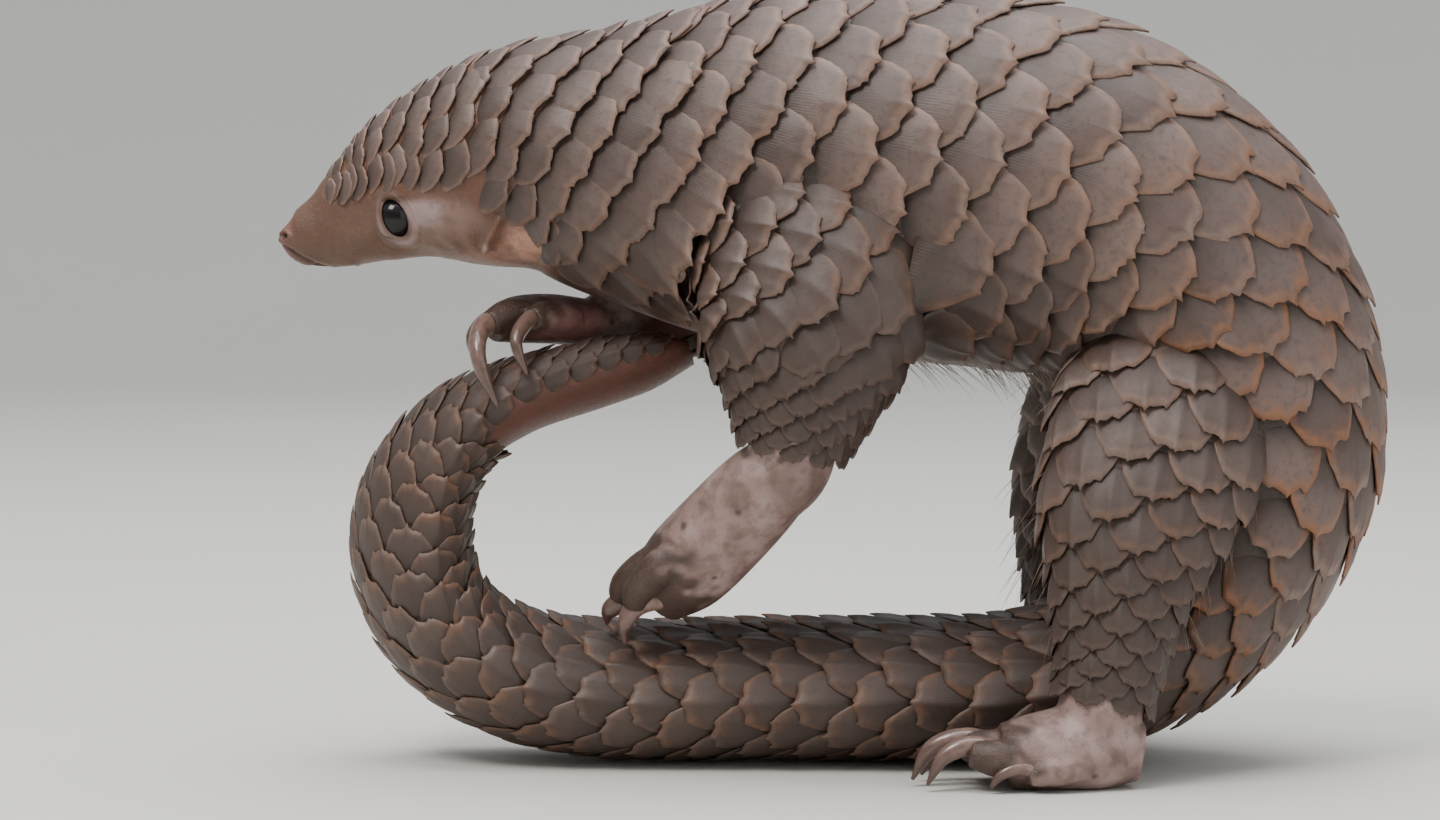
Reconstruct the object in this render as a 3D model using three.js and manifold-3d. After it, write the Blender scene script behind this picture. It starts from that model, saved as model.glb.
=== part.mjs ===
// A young white-bellied tree pangolin, life size, in millimetres, with +Z up and the head towards -X.
// It stands on its hind feet with the tail laid on the floor under the belly. The tail curls up in
// front, where the right forefoot holds its tip, and the left forefoot stands on it.
import * as THREE from "three";
import { mergeVertices } from "three/addons/utils/BufferGeometryUtils.js";
import Module from "manifold-3d";

const wasm = await Module();
wasm.setup();

// Driving dimensions
const GAP = 0.3; // between neighbours
const PLATE_RISE = 1.7; // how far a plate's tip stands off the skin
const PLATE_LEAST = 0.12; // lower ones are left out
const PLATE_LENGTH = 0.68; // from one staggered row to the next, as a share of half a plate's width
const PLATE_SHORTEST = 2.8;
const SIDE_SHARE = 0.45; // height of a plate's sides, as a share of its tip's
const CORNER = [0.74, 0.52]; // a plate's rear corners between its sides and its tip
const CORNER_SHARE = 0.92; // height of those corners, as a share of the tip's
const LIMB_ROWS = 10;
const LIMB_RISE = 0.7 * PLATE_RISE;
const DETAIL = 0.05; // smaller steps than this are left out
const LINE_STEPS = 40; // of a middle line, for each row of its table
const EYE_RADIUS = 3.8;
const EYE_PLACE = [-76.6, -6.8, 95.0]; // of the left eye
const LID_INSET = 0.55; // how much less than the eye's radius the ring of its lids has
const LID_HALF = 0.75; // half the lids' thickness
const LID_OUT = 2.8; // from the eye's middle outward to the lids
const LID_TALL = 1.12; // the opening's height for its length
const LID_TURN = 0.1;
const NOSTRIL = [-96.0, 2.0, 91.0];
const NOSTRIL_RADIUS = 0.7;
const MOUTH_SIZE = [9, 1.2, 0.5];
const MOUTH_PLACE = [-90.2, 4.6, 88.6];
const MOUTH_TURN = 0.42;

const LEFT = new THREE.Vector3(0, -1, 0); // the animal's left side

// The middle line from snout to tail tip: x, z, half depth, half width, and the turn of the tail's
// back towards the left side in degrees.
const BODY_ROWS = [
  // head
  [-96.8, 91.5, 1.6, 1.9, 0],
  [-94.0, 91.6, 4.6, 4.2, 0],
  [-88.4, 93.1, 7.2, 6.3, 0],
  [-81.6, 96.6, 10.2, 8.6, 0],
  [-73.6, 100.7, 13.8, 11.2, 0],
  [-63.6, 103.5, 17.5, 14.2, 0],
  // neck and trunk
  [-52.4, 105.2, 20.0, 17.2, 0],
  [-38.0, 104.1, 24.0, 20.8, 0],
  [-21.0, 103.0, 28.8, 24.8, 0],
  [-2.0, 102.6, 31.4, 27.6, 0],
  [16.0, 101.6, 32.0, 28.8, 0],
  [32.0, 99.6, 31.8, 29.0, 0],
  [46.2, 95.0, 30.4, 28.6, 0],
  [57.6, 86.8, 28.2, 28.0, 0],
  [65.6, 75.6, 26.2, 27.2, 0],
  [70.4, 63.0, 24.2, 26.4, 0],
  [71.8, 50.6, 21.8, 25.4, 0],
  // tail, down to the floor, along it, and up in front
  [68.8, 38.4, 18.6, 24.4, 0],
  [61.4, 27.0, 15.6, 23.2, 0],
  [49.4, 17.8, 13.2, 22.0, 0],
  [32.0, 12.8, 11.6, 20.8, 0],
  [8.0, 12.4, 11.2, 19.8, 0],
  [-16.0, 12.3, 11.1, 18.8, 0],
  [-38.0, 12.2, 11.0, 18.0, 0],
  [-56.0, 14.8, 10.6, 17.2, 4],
  [-69.0, 22.8, 10.0, 16.4, 12],
  [-74.6, 34.4, 9.4, 15.6, 20],
  [-73.6, 46.4, 8.6, 14.4, 20],
  [-67.2, 56.8, 7.6, 12.8, 10],
  [-56.4, 63.2, 6.6, 11.0, -6],
  [-44.2, 66.8, 5.6, 9.2, -18],
  [-33.6, 69.6, 4.5, 7.4, -24],
  [-25.6, 71.4, 2.0, 3.6, -24],
];

const TAIL_LAID = 18.7; // from this row on the tail lies on the floor, beneath the legs and feet

// Where each length of the body ends, as a row of the table above, and its rows of plates all
// round. The belly's plates are left flat.
const BODY_NODES = [
  ["head", 5.7, 18],
  ["neck", 7.4, 20],
  ["torso_front", 10, 20],
  ["torso_middle", 12.7, 20],
  ["rump", 16, 20],
  ["tail_1", TAIL_LAID, 16],
  ["tail_2", 21, 14],
  ["tail_3", 23.4, 12],
  ["tail_4", 26, 12],
  ["tail_5", 28.6, 12],
  ["tail_6", 32, 12],
];

// Limbs: x, y, z, half size outward and half size across.
const FORELEG_LEFT = [
  [-13.0, -13.0, 103.0, 9.0, 14.0],
  [-8.5, -20.0, 92.0, 10.0, 17.4],
  [-5.6, -24.8, 81.0, 9.8, 18.4],
  [-6.2, -26.2, 71.5, 9.2, 17.0],
  [-7.4, -26.2, 62.0, 8.0, 12.0],
  [-9.2, -25.5, 53.0, 6.8, 8.0],
];
const FOREFOOT_LEFT = [
  [-6.4, -25.8, 56.0, 5.0, 5.2],
  [-12.8, -24.0, 49.8, 6.8, 7.6],
  [-19.8, -19.8, 42.2, 7.2, 8.2],
  [-26.6, -14.8, 35.0, 7.2, 8.0],
  [-31.6, -11.6, 30.4, 5.4, 6.0],
];
const FORELEG_RIGHT = [
  [-13.0, 13.0, 103.0, 9.0, 14.0],
  [-9.0, 20.0, 92.0, 10.0, 16.0],
  [-7.6, 23.0, 82.0, 9.0, 13.0],
  [-9.0, 23.0, 72.0, 6.0, 8.0],
];
const FOREARM_RIGHT = [
  [-4.0, 23.0, 79.0, 6.0, 7.0],
  [-15.0, 21.0, 78.0, 7.6, 8.0],
  [-28.0, 15.4, 77.6, 6.6, 6.6],
  [-39.0, 10.4, 77.8, 5.6, 5.2],
];
const FOREFOOT_RIGHT = [
  [-37.0, 11.4, 76.2, 4.4, 4.0],
  [-44.0, 7.6, 76.4, 5.6, 4.2],
  [-51.0, 3.0, 77.2, 5.8, 4.4],
  [-57.0, -1.4, 77.0, 5.4, 4.0],
  [-60.0, -3.8, 75.8, 3.4, 2.6],
];
const HIND_LEG = [
  [60.0, 12.0, 74.0, 10.0, 16.0],
  [55.0, 21.5, 60.0, 11.4, 19.0],
  [49.0, 28.4, 45.0, 10.0, 16.0],
  [46.0, 31.4, 31.0, 8.4, 11.2],
  [44.4, 32.6, 19.0, 7.4, 8.8],
  [42.6, 33.2, 11.0, 6.8, 8.0],
];
const HIND_FOOT = [
  [50.0, 33.2, 5.6, 4.4, 4.8],
  [43.0, 33.2, 6.6, 7.6, 7.6],
  [34.0, 33.2, 5.8, 8.2, 6.8],
  [26.4, 33.2, 4.6, 8.0, 5.6],
  [21.4, 33.2, 3.6, 6.0, 4.2],
];

// Claws: where each leaves the foot, two points it bends through, its tip and its half thickness.
const CLAWS_LEFT = [
  [[-30.2, -16.6, 30.0], [-34.8, -17.4, 28.6], [-37.0, -17.0, 25.2], [-36.8, -16.6, 21.8], 1.7],
  [[-31.4, -12.0, 30.0], [-36.8, -11.6, 29.2], [-39.8, -11.0, 27.0], [-40.2, -10.6, 24.8], 1.9],
  [[-30.6, -7.6, 30.0], [-35.2, -5.8, 29.6], [-38.0, -4.8, 28.2], [-38.8, -4.4, 26.4], 1.7],
];
const CLAWS_RIGHT = [
  [[-55.0, 1.6, 77.6], [-61.0, 0.4, 77.0], [-63.8, -1.4, 73.8], [-63.6, -2.4, 70.6], 1.6],
  [[-56.0, -2.4, 77.6], [-61.6, -8.8, 76.0], [-62.0, -13.6, 70.8], [-58.6, -14.8, 62.4], 1.8],
  [[-50.6, -0.6, 78.0], [-54.0, -8.0, 77.0], [-55.6, -12.6, 73.4], [-53.6, -13.8, 68.0], 1.5],
];
const CLAWS_HIND = [
  [[26.4, 28.4, 6.4], [20.6, 27.6, 7.4], [16.2, 27.2, 5.6], [13.4, 27.0, 1.0], 1.6],
  [[26.0, 32.8, 6.6], [19.6, 32.8, 7.8], [14.6, 32.8, 6.0], [11.6, 32.8, 1.0], 1.8],
  [[26.4, 37.4, 6.4], [20.8, 38.2, 7.4], [16.6, 38.8, 5.6], [13.8, 39.2, 1.0], 1.6],
];

// A solid swept along a smooth line. Its back is found from a direction: of the left side for the
// body, and of the outer face for a limb.
class Form {
  constructor(rows, direction, isSide) {
    this.last = rows.length - 1;
    this.direction = direction;
    this.isSide = isSide;
    const points = rows.map(([x, y, z]) => new THREE.Vector3(x, y, z));
    const sizes = rows.map((row) => new THREE.Vector3(row[3], row[4], row[5] ?? 0));
    this.middle = new THREE.CatmullRomCurve3(points);
    this.sizes = new THREE.CatmullRomCurve3(sizes, false, "catmullrom", 0.5);
    this.lengths = this.middle.getLengths(this.last * LINE_STEPS);
    this.length = this.lengths[this.lengths.length - 1];
  }

  // Distance along the middle line at a row of the table.
  distance(row) {
    return this.lengths[Math.round(row * LINE_STEPS)];
  }

  share(distance) {
    const wanted = THREE.MathUtils.clamp(distance, 0, this.length);
    const found = this.lengths.findIndex((length) => length >= wanted);
    const i = found < 1 ? 1 : found;
    const step = this.lengths[i] - this.lengths[i - 1];
    return (i - 1 + (wanted - this.lengths[i - 1]) / step) / (this.lengths.length - 1);
  }

  frame(distance) {
    const t = this.share(distance);
    const centre = this.middle.getPoint(t);
    const along = this.middle.getTangent(t);
    const sizes = this.sizes.getPoint(t);
    const up = this.direction.clone();
    if (this.isSide) {
      up.cross(along).normalize();
    } else {
      up.addScaledVector(along, -up.dot(along)).normalize();
    }
    up.applyAxisAngle(along, THREE.MathUtils.degToRad(sizes.z));
    const side = along.clone().cross(up);
    return { centre, along, up, side, depth: sizes.x, width: sizes.y };
  }

  halfGirth(distance) {
    const { depth, width } = this.frame(distance);
    return (Math.PI / 2) * (1.5 * (depth + width) - Math.sqrt(depth * width));
  }

  // A point of the skin at share q round the section: 0 is the back and 1 or -1 the belly.
  point(distance, q, rise = 0) {
    const f = this.frame(distance);
    const turned = q > 1 ? q - 2 : q < -1 ? q + 2 : q;
    const angle = angleAt(turned, f.depth, f.width);
    const c = Math.cos(angle);
    const s = Math.sin(angle);
    const normal = f.up.clone().multiplyScalar(c / f.depth).addScaledVector(f.side, s / f.width);
    return f.centre
      .clone()
      .addScaledVector(f.up, c * f.depth)
      .addScaledVector(f.side, s * f.width)
      .addScaledVector(normal.normalize(), rise);
  }

  loft(from, to, rings, sides, rise = 0) {
    const vertices = [];
    const triangles = [];
    for (let i = 0; i <= rings; i++) {
      const distance = from + ((to - from) * i) / rings;
      for (let j = 0; j < sides; j++) {
        vertices.push(...this.point(distance, (2 * j) / sides - 1, rise));
      }
    }
    const start = vertices.length / 3;
    vertices.push(...this.frame(from).centre);
    vertices.push(...this.frame(to).centre);
    const at = (i, j) => i * sides + (j % sides);
    for (let j = 0; j < sides; j++) {
      triangles.push(start, at(0, j), at(0, j + 1));
      triangles.push(start + 1, at(rings, j + 1), at(rings, j));
      for (let i = 0; i < rings; i++) {
        triangles.push(at(i, j), at(i + 1, j + 1), at(i, j + 1));
        triangles.push(at(i, j), at(i + 1, j), at(i + 1, j + 1));
      }
    }
    return outward(vertices, triangles);
  }

  // What of a body lies between two distances, less half a gap at each end that is a cut.
  between(body, from, to) {
    let cut = body;
    if (from > 0) {
      const f = this.frame(from);
      cut = cut.trimByPlane(f.along.toArray(), f.along.dot(f.centre) + GAP / 2);
    }
    if (to < this.length) {
      const f = this.frame(to);
      cut = cut.trimByPlane(f.along.clone().negate().toArray(), GAP / 2 - f.along.dot(f.centre));
    }
    return cut;
  }

  // The skin with rows of overlapping plates all round it, staggered, each open towards the far
  // end. A plate is a diamond of the lattice: its tip stands off by rise(distance, q), its sides
  // by part of it, and its front lies on the skin, under the plates before it.
  shell(from, to, rows, rise, extra = 0) {
    const sets = [from];
    while (sets[sets.length - 1] < to) {
      const at = sets[sets.length - 1];
      const width = (2 * this.halfGirth(at)) / rows;
      sets.push(at + Math.max(PLATE_LENGTH * width, PLATE_SHORTEST));
    }
    const scale = (to - from) / (sets[sets.length - 1] - from);
    const along = (i) => from + (sets[Math.max(0, Math.floor(i))] - from) * scale;
    const mixed = (i) => along(i) + (along(i + 1) - along(i)) * (i - Math.floor(i));
    const vertices = [];
    const triangles = [];
    const known = new Map();
    const wrap = (j) => (j + rows) % rows;

    // The vertex at a place of the lattice, raised by a share of the local rise
    const vertex = (i, j, share) => {
      const distance = i >= sets.length - 1 ? to : mixed(i);
      const q = (2 * wrap(j)) / rows - 1;
      const full = rise(distance, q);
      const lift = full < PLATE_LEAST ? 0 : full * share;
      const key = `${i.toFixed(2)} ${wrap(j).toFixed(2)} ${lift.toFixed(3)}`;
      if (!known.has(key)) {
        known.set(key, vertices.length / 3);
        vertices.push(...this.point(distance, q, lift + extra));
      }
      return known.get(key);
    };
    const face = (...corners) => {
      const used = corners.filter((corner) => corner !== null);
      for (let k = 2; k < used.length; k++) {
        const [a, b, c] = [used[0], used[k - 1], used[k]];
        if (a !== b && b !== c && a !== c) triangles.push(a, b, c);
      }
    };
    const tip = (i, j) => vertex(i, j, 1);
    const flank = (i, j) => vertex(i, j, SIDE_SHARE);
    const front = (i, j) => vertex(i, j, 0);
    // A rear corner, or nothing where the skin is bare
    const corner = (i, j, side, share) => {
      const [a, b] = [i + CORNER[0], j + side * CORNER[1]];
      const bare = rise(mixed(a), (2 * wrap(b)) / rows - 1) < PLATE_LEAST;
      return bare ? null : vertex(a, b, share);
    };

    const first = vertices.push(...this.frame(from).centre) / 3 - 1;
    const end = vertices.push(...this.frame(to).centre) / 3 - 1;
    const last = sets.length - 2;
    for (let i = 1; i <= last; i++) {
      for (let j = i % 2; j < rows; j += 2) {
        const t = tip(i + 1, j);
        const [right, left] = [1, -1].map((side) => corner(i, j, side, CORNER_SHARE));
        const [mRight, mLeft] = [flank(i, j + 1), flank(i, j - 1)];
        const f = front(i - 1, j);
        const [nRight, nLeft] = [corner(i - 1, j + 1, -1, 0), corner(i - 1, j - 1, 1, 0)];
        if ([right, left, nRight, nLeft].includes(null)) {
          face(mRight, nRight, f, nLeft, mLeft);
          face(mRight, mLeft, left, t, right);
        } else {
          face(t, right, left);
          face(right, mRight, nRight);
          face(right, nRight, nLeft, left);
          face(nLeft, mLeft, left);
          face(nRight, f, nLeft);
        }
        if (i === 1) face(first, mLeft, nLeft, f, nRight, mRight);
        if (i === last) {
          face(end, mRight, right, t, left, mLeft);
          continue;
        }
        const [lowRight, lowLeft] = [corner(i, j, 1, 0), corner(i, j, -1, 0)];
        const m = flank(i + 1, j);
        face(mRight, right, lowRight, front(i, j + 1));
        face(right ?? mRight, t, m, lowRight ?? front(i, j + 1));
        face(front(i, j - 1), lowLeft, left, mLeft);
        face(lowLeft ?? front(i, j - 1), m, t, left ?? mLeft);
      }
    }
    return outward(vertices, triangles).simplify(DETAIL);
  }
}

// The angle round an ellipse at a share of half its girth, counted from the end of its depth.
function angleAt(q, depth, width) {
  const steps = 40;
  const lengths = [0];
  for (let i = 0; i < steps; i++) {
    const angle = ((i + 0.5) / steps) * Math.PI;
    lengths.push(lengths[i] + Math.hypot(depth * Math.sin(angle), width * Math.cos(angle)));
  }
  const wanted = Math.min(Math.abs(q), 1) * lengths[steps];
  const found = lengths.findIndex((length) => length >= wanted);
  const i = found < 1 ? 1 : found;
  const part = (wanted - lengths[i - 1]) / (lengths[i] - lengths[i - 1]);
  return Math.sign(q) * ((i - 1 + part) / steps) * Math.PI;
}

function solid(vertices, triangles) {
  const numProp = 3;
  const vertProperties = new Float32Array(vertices);
  const triVerts = new Uint32Array(triangles);
  return new wasm.Manifold(new wasm.Mesh({ numProp, vertProperties, triVerts }));
}

// The same, with the faces turned outward whichever way they were listed.
function outward(vertices, triangles) {
  const made = solid(vertices, triangles);
  if (made.volume() > 0) return made;
  const turned = [];
  for (let i = 0; i < triangles.length; i += 3) {
    turned.push(triangles[i], triangles[i + 2], triangles[i + 1]);
  }
  return solid(vertices, turned);
}

function fromGeometry(geometry) {
  geometry.deleteAttribute("normal");
  geometry.deleteAttribute("uv");
  const merged = mergeVertices(geometry, 1e-4);
  return outward(Array.from(merged.attributes.position.array), Array.from(merged.index.array));
}

function ball(radius, place, detail = 14) {
  const geometry = new THREE.SphereGeometry(radius, detail, detail / 2);
  geometry.translate(...place);
  return fromGeometry(geometry);
}

const join = (list) => wasm.Manifold.union(list);

// The largest closed piece of a body.
function largest(body) {
  const pieces = body.decompose();
  return pieces.reduce((best, piece) => (piece.volume() > best.volume() ? piece : best));
}

const group = new THREE.Group();
group.name = "pangolin";

const COLOURS = { scale: 0x716462, skin: 0x95776a, foot: 0x8e7a72, claw: 0x6b5850, eye: 0x1c1815 };

function addNode(name, body, slot, finish = 0.6) {
  const mesh = largest(body).getMesh();
  const geometry = new THREE.BufferGeometry();
  geometry.setAttribute("position", new THREE.BufferAttribute(mesh.vertProperties.slice(), 3));
  geometry.setIndex(new THREE.BufferAttribute(mesh.triVerts.slice(), 1));
  geometry.computeVertexNormals();
  const material = new THREE.MeshStandardMaterial({
    color: COLOURS[slot],
    roughness: finish,
    flatShading: true,
  });
  const node = new THREE.Mesh(geometry, material);
  node.name = name;
  group.add(node);
}

const mirrored = (rows) => rows.map(([x, y, ...rest]) => [x, -y, ...rest]);
const body = new Form(
  BODY_ROWS.map(([x, z, ...sizes]) => [x, 0, z, ...sizes]),
  LEFT,
  true,
);
const limb = (rows, left) => new Form(rows, new THREE.Vector3(0, left ? -1 : 1, 0), false);

const whole = (form, sides = 18, rise = 0) => {
  const rings = Math.max(4, Math.round(form.length / 5));
  return form.loft(0, form.length, rings, sides, rise);
};

// A value between the rows of a table of station and value, along the body
function along(table, distance) {
  const at = (i) => body.distance(table[i][0]);
  if (distance <= at(0)) return table[0][1];
  for (let i = 1; i < table.length; i++) {
    if (distance < at(i)) {
      const t = (distance - at(i - 1)) / (at(i) - at(i - 1));
      return table[i - 1][1] + t * (table[i][1] - table[i - 1][1]);
    }
  }
  return table[table.length - 1][1];
}

// How far round the plates reach on each side, and how high they stand
const REACH = [
  [2.4, 0.1],
  [3.4, 0.3],
  [4.6, 0.42],
  [5.4, 0.5],
  [7, 0.68],
  [10, 0.74],
  [16, 0.76],
  [17.6, 1.2],
];
const HEIGHT = [
  [2.2, 0],
  [3, 0.8],
  [6, 1.1],
  [8, 1.6],
  [16, 1.8],
  [20, 1.5],
  [28, 1.3],
  [31.4, 0.7],
  [31.8, 0],
];
const PAD = [28.6, 0.62]; // from this row on the tail's belly side is bare beyond this share

function bodyRise(distance, q) {
  const edge = along(REACH, distance) - Math.abs(q);
  const bare = distance > body.distance(PAD[0]) && Math.abs(q) > PAD[1];
  if (bare) return 0;
  return along(HEIGHT, distance) * THREE.MathUtils.clamp(edge / 0.05, 0, 1);
}

// A limb has plates on its outer face, from the share of its length where it leaves the trunk.
const limbRise = (form) => (distance, q) => {
  const edge = THREE.MathUtils.clamp((0.7 - Math.abs(q)) / 0.06, 0, 1);
  const end = THREE.MathUtils.clamp((form.length - 1 - distance) / 4, 0, 1);
  return LIMB_RISE * edge * end;
};
const limbShell = (form, extra = 0) => form.shell(0, form.length, LIMB_ROWS, limbRise(form), extra);

const forelegs = { left: limb(FORELEG_LEFT, true), right: limb(FORELEG_RIGHT, false) };
const forearm = limb(FOREARM_RIGHT, false);
const hindLegs = { left: limb(mirrored(HIND_LEG), true), right: limb(HIND_LEG, false) };
const legs = {
  foreleg_left: limbShell(forelegs.left),
  foreleg_right: limbShell(forelegs.right).add(limbShell(forearm)),
  hind_leg_left: limbShell(hindLegs.left),
  hind_leg_right: limbShell(hindLegs.right),
};
const CLEAR = GAP * 1.5; // set off a coarse surface, this leaves the gap
const legForms = [...Object.values(forelegs), forearm, ...Object.values(hindLegs)];
const legsClear = join(legForms.map((form) => whole(form, 16, LIMB_RISE + CLEAR)));
const tailFrom = body.distance(TAIL_LAID);
const tailClear = body.shell(tailFrom, body.length, 14, () => 1, CLEAR);

// Feet
const feet = {
  forefoot_left: limb(FOREFOOT_LEFT, true),
  forefoot_right: limb(FOREFOOT_RIGHT, false),
  hind_foot_left: limb(mirrored(HIND_FOOT), true),
  hind_foot_right: limb(HIND_FOOT, false),
};
const feetClear = join(Object.values(feet).map((form) => whole(form, 12, CLEAR)));

// Claws
const claws = {};
function addClaws(foot, rows) {
  rows.forEach(([a, b, c, d, half], i) => {
    const sizes = [half, half * 0.95, half * 0.7, 0.35];
    const line = [a, b, c, d].map((p, k) => [...p, sizes[k], sizes[k] * 0.85]);
    const form = new Form(line, new THREE.Vector3(0, 0, 1), false);
    claws[`${foot}_claw_${i + 1}`] = {
      body: form.loft(0, form.length, 5, 7),
      clear: form.loft(0, form.length, 5, 7, GAP),
    };
  });
}
addClaws("forefoot_left", CLAWS_LEFT);
addClaws("forefoot_right", CLAWS_RIGHT);
addClaws("hind_foot_left", mirrorClaws(CLAWS_HIND));
addClaws("hind_foot_right", CLAWS_HIND);

function mirrorClaws(rows) {
  return rows.map((row) => row.map((p) => (Array.isArray(p) ? [p[0], -p[1], p[2]] : p)));
}

const clawsClear = join(Object.values(claws).map((claw) => claw.clear));

// Head: eyes in sockets with lids, low ears, nostrils and the line of the mouth
const eyes = { left: EYE_PLACE, right: [EYE_PLACE[0], -EYE_PLACE[1], EYE_PLACE[2]] };
const EAR_ROWS = [
  [-58.6, -13.4, 95.6, 0.7, 0.9],
  [-59.8, -14.6, 93.4, 1.2, 1.6],
  [-60.0, -14.8, 90.4, 1.4, 1.8],
  [-59.2, -14.0, 87.4, 1.2, 1.5],
  [-57.8, -12.6, 85.6, 0.6, 0.8],
];
const ears = { left: limb(EAR_ROWS, true), right: limb(mirrored(EAR_ROWS), false) };

function headDetails(head) {
  let made = head;
  for (const side of ["left", "right"]) {
    const [x, y, z] = eyes[side];
    const out = Math.sign(y);
    const lids = new THREE.TorusGeometry(EYE_RADIUS - LID_INSET, LID_HALF, 6, 14);
    lids.scale(1, LID_TALL, 1);
    lids.rotateX(Math.PI / 2);
    lids.rotateZ(out * LID_TURN);
    lids.translate(x, y + out * LID_OUT, z);
    made = made.add(fromGeometry(lids)).subtract(ball(EYE_RADIUS + GAP, [x, y, z]));
    made = made.subtract(ball(NOSTRIL_RADIUS, [NOSTRIL[0], out * NOSTRIL[1], NOSTRIL[2]], 8));
    const mouth = new THREE.BoxGeometry(...MOUTH_SIZE);
    mouth.rotateY(MOUTH_TURN);
    mouth.translate(MOUTH_PLACE[0], out * MOUTH_PLACE[1], MOUTH_PLACE[2]);
    made = made.subtract(fromGeometry(mouth));
  }
  return made;
}

// The body, length by length
let start = 0;
for (const [name, row, rows] of BODY_NODES) {
  const end = row >= body.last ? body.length : body.distance(row);
  const margin = 1.5;
  const from = Math.max(0, start - margin);
  const to = Math.min(body.length, end + margin);
  let made = body.shell(from, to, rows, bodyRise);
  if (name === "head") made = headDetails(made);
  made = body.between(made, start, end).trimByPlane([0, 0, 1], 0);
  if (name === "head" || name === "neck") {
    made = made.subtract(join([whole(ears.left, 8, GAP), whole(ears.right, 8, GAP)]));
  }
  if (!/tail_[2-6]/.test(name)) made = made.subtract(legsClear);
  addNode(name, made, "scale");
  start = end;
}

for (const side of ["left", "right"]) {
  addNode(`ear_${side}`, whole(ears[side], 8), "skin");
  addNode(`eye_${side}`, ball(EYE_RADIUS, eyes[side]), "eye", 0.15);
}
for (const [name, made] of Object.entries(legs)) {
  addNode(name, made.subtract(feetClear).subtract(tailClear).trimByPlane([0, 0, 1], 0), "scale");
}
for (const [name, form] of Object.entries(feet)) {
  const made = whole(form, 12).subtract(clawsClear).subtract(tailClear);
  addNode(name, made.trimByPlane([0, 0, 1], 0), "foot", 0.7);
}
for (const [name, claw] of Object.entries(claws)) {
  addNode(name, claw.body.subtract(tailClear).trimByPlane([0, 0, 1], 0), "claw", 0.4);
}

// Stand the group on its origin, under the middle of its box
const box = new THREE.Box3().setFromObject(group);
const middle = box.getCenter(new THREE.Vector3());
for (const node of group.children) {
  node.geometry.translate(-middle.x, -middle.y, -box.min.z);
}

export default group;
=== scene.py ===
"""Looks of a young tree pangolin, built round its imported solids.

Run as a script it builds the whole animal: one skin from snout to tail tip, the scales over it,
feet, claws, eyes and hairs, then floor, light and camera. Sizes are in millimetres until a mesh is
made, and the head points towards -X.
"""

import math

import bmesh
import bpy
import numpy as np
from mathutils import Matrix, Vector


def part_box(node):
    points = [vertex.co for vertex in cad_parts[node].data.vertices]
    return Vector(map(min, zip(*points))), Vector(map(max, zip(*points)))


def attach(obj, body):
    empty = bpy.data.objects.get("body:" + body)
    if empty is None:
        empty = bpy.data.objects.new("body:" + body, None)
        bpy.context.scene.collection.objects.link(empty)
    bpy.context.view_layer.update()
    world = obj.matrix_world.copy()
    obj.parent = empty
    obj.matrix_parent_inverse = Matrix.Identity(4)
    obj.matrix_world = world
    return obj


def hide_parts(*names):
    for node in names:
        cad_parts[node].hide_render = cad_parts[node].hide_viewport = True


bl_info = {
    "name": "Tree pangolin",
    "version": (1, 0, 0),
    "blender": (4, 5, 0),
    "location": "View3D > Sidebar > Pangolin",
    "description": "Skin, scales, eyes, claws and stage of a still tree pangolin",
    "category": "Add Mesh",
}

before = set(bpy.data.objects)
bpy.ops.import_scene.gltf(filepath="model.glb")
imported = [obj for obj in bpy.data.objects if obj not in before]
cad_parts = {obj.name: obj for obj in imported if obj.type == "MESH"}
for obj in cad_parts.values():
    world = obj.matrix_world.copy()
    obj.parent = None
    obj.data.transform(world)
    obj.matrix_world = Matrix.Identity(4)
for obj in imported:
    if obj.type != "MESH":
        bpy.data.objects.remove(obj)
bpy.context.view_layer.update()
MM = 0.001

# The middle line from snout to tail tip: x, z, half depth, half width, and the turn of the tail's
# back towards the left side in degrees.
BODY_ROWS = [
    (-96.8, 91.5, 1.6, 1.9, 0),
    (-94.0, 91.6, 4.6, 4.2, 0),
    (-88.4, 93.1, 7.2, 6.3, 0),
    (-81.6, 96.6, 10.2, 8.6, 0),
    (-73.6, 100.7, 13.8, 11.2, 0),
    (-63.6, 103.5, 17.5, 14.2, 0),
    (-52.4, 105.2, 20.0, 17.2, 0),
    (-38.0, 104.1, 24.0, 20.8, 0),
    (-21.0, 103.0, 28.8, 24.8, 0),
    (-2.0, 102.6, 31.4, 27.6, 0),
    (16.0, 101.6, 32.0, 28.8, 0),
    (32.0, 99.6, 31.8, 29.0, 0),
    (46.2, 95.0, 30.4, 28.6, 0),
    (57.6, 86.8, 28.2, 28.0, 0),
    (65.6, 75.6, 26.2, 27.2, 0),
    (70.4, 63.0, 24.2, 26.4, 0),
    (71.8, 50.6, 21.8, 25.4, 0),
    (68.8, 38.4, 18.6, 24.4, 0),
    (61.4, 27.0, 15.6, 23.2, 0),
    (49.4, 17.8, 13.2, 22.0, 0),
    (32.0, 12.8, 11.6, 20.8, 0),
    (8.0, 12.4, 11.2, 19.8, 0),
    (-16.0, 12.3, 11.1, 18.8, 0),
    (-38.0, 12.2, 11.0, 18.0, 0),
    (-56.0, 14.8, 10.6, 17.2, 4),
    (-69.0, 22.8, 10.0, 16.4, 12),
    (-74.6, 34.4, 9.4, 15.6, 20),
    (-73.6, 46.4, 8.6, 14.4, 20),
    (-67.2, 56.8, 7.6, 12.8, 10),
    (-56.4, 63.2, 6.6, 11.0, -6),
    (-44.2, 66.8, 5.6, 9.2, -18),
    (-33.6, 69.6, 4.5, 7.4, -24),
    (-25.6, 71.4, 2.0, 3.6, -24),
]

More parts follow.
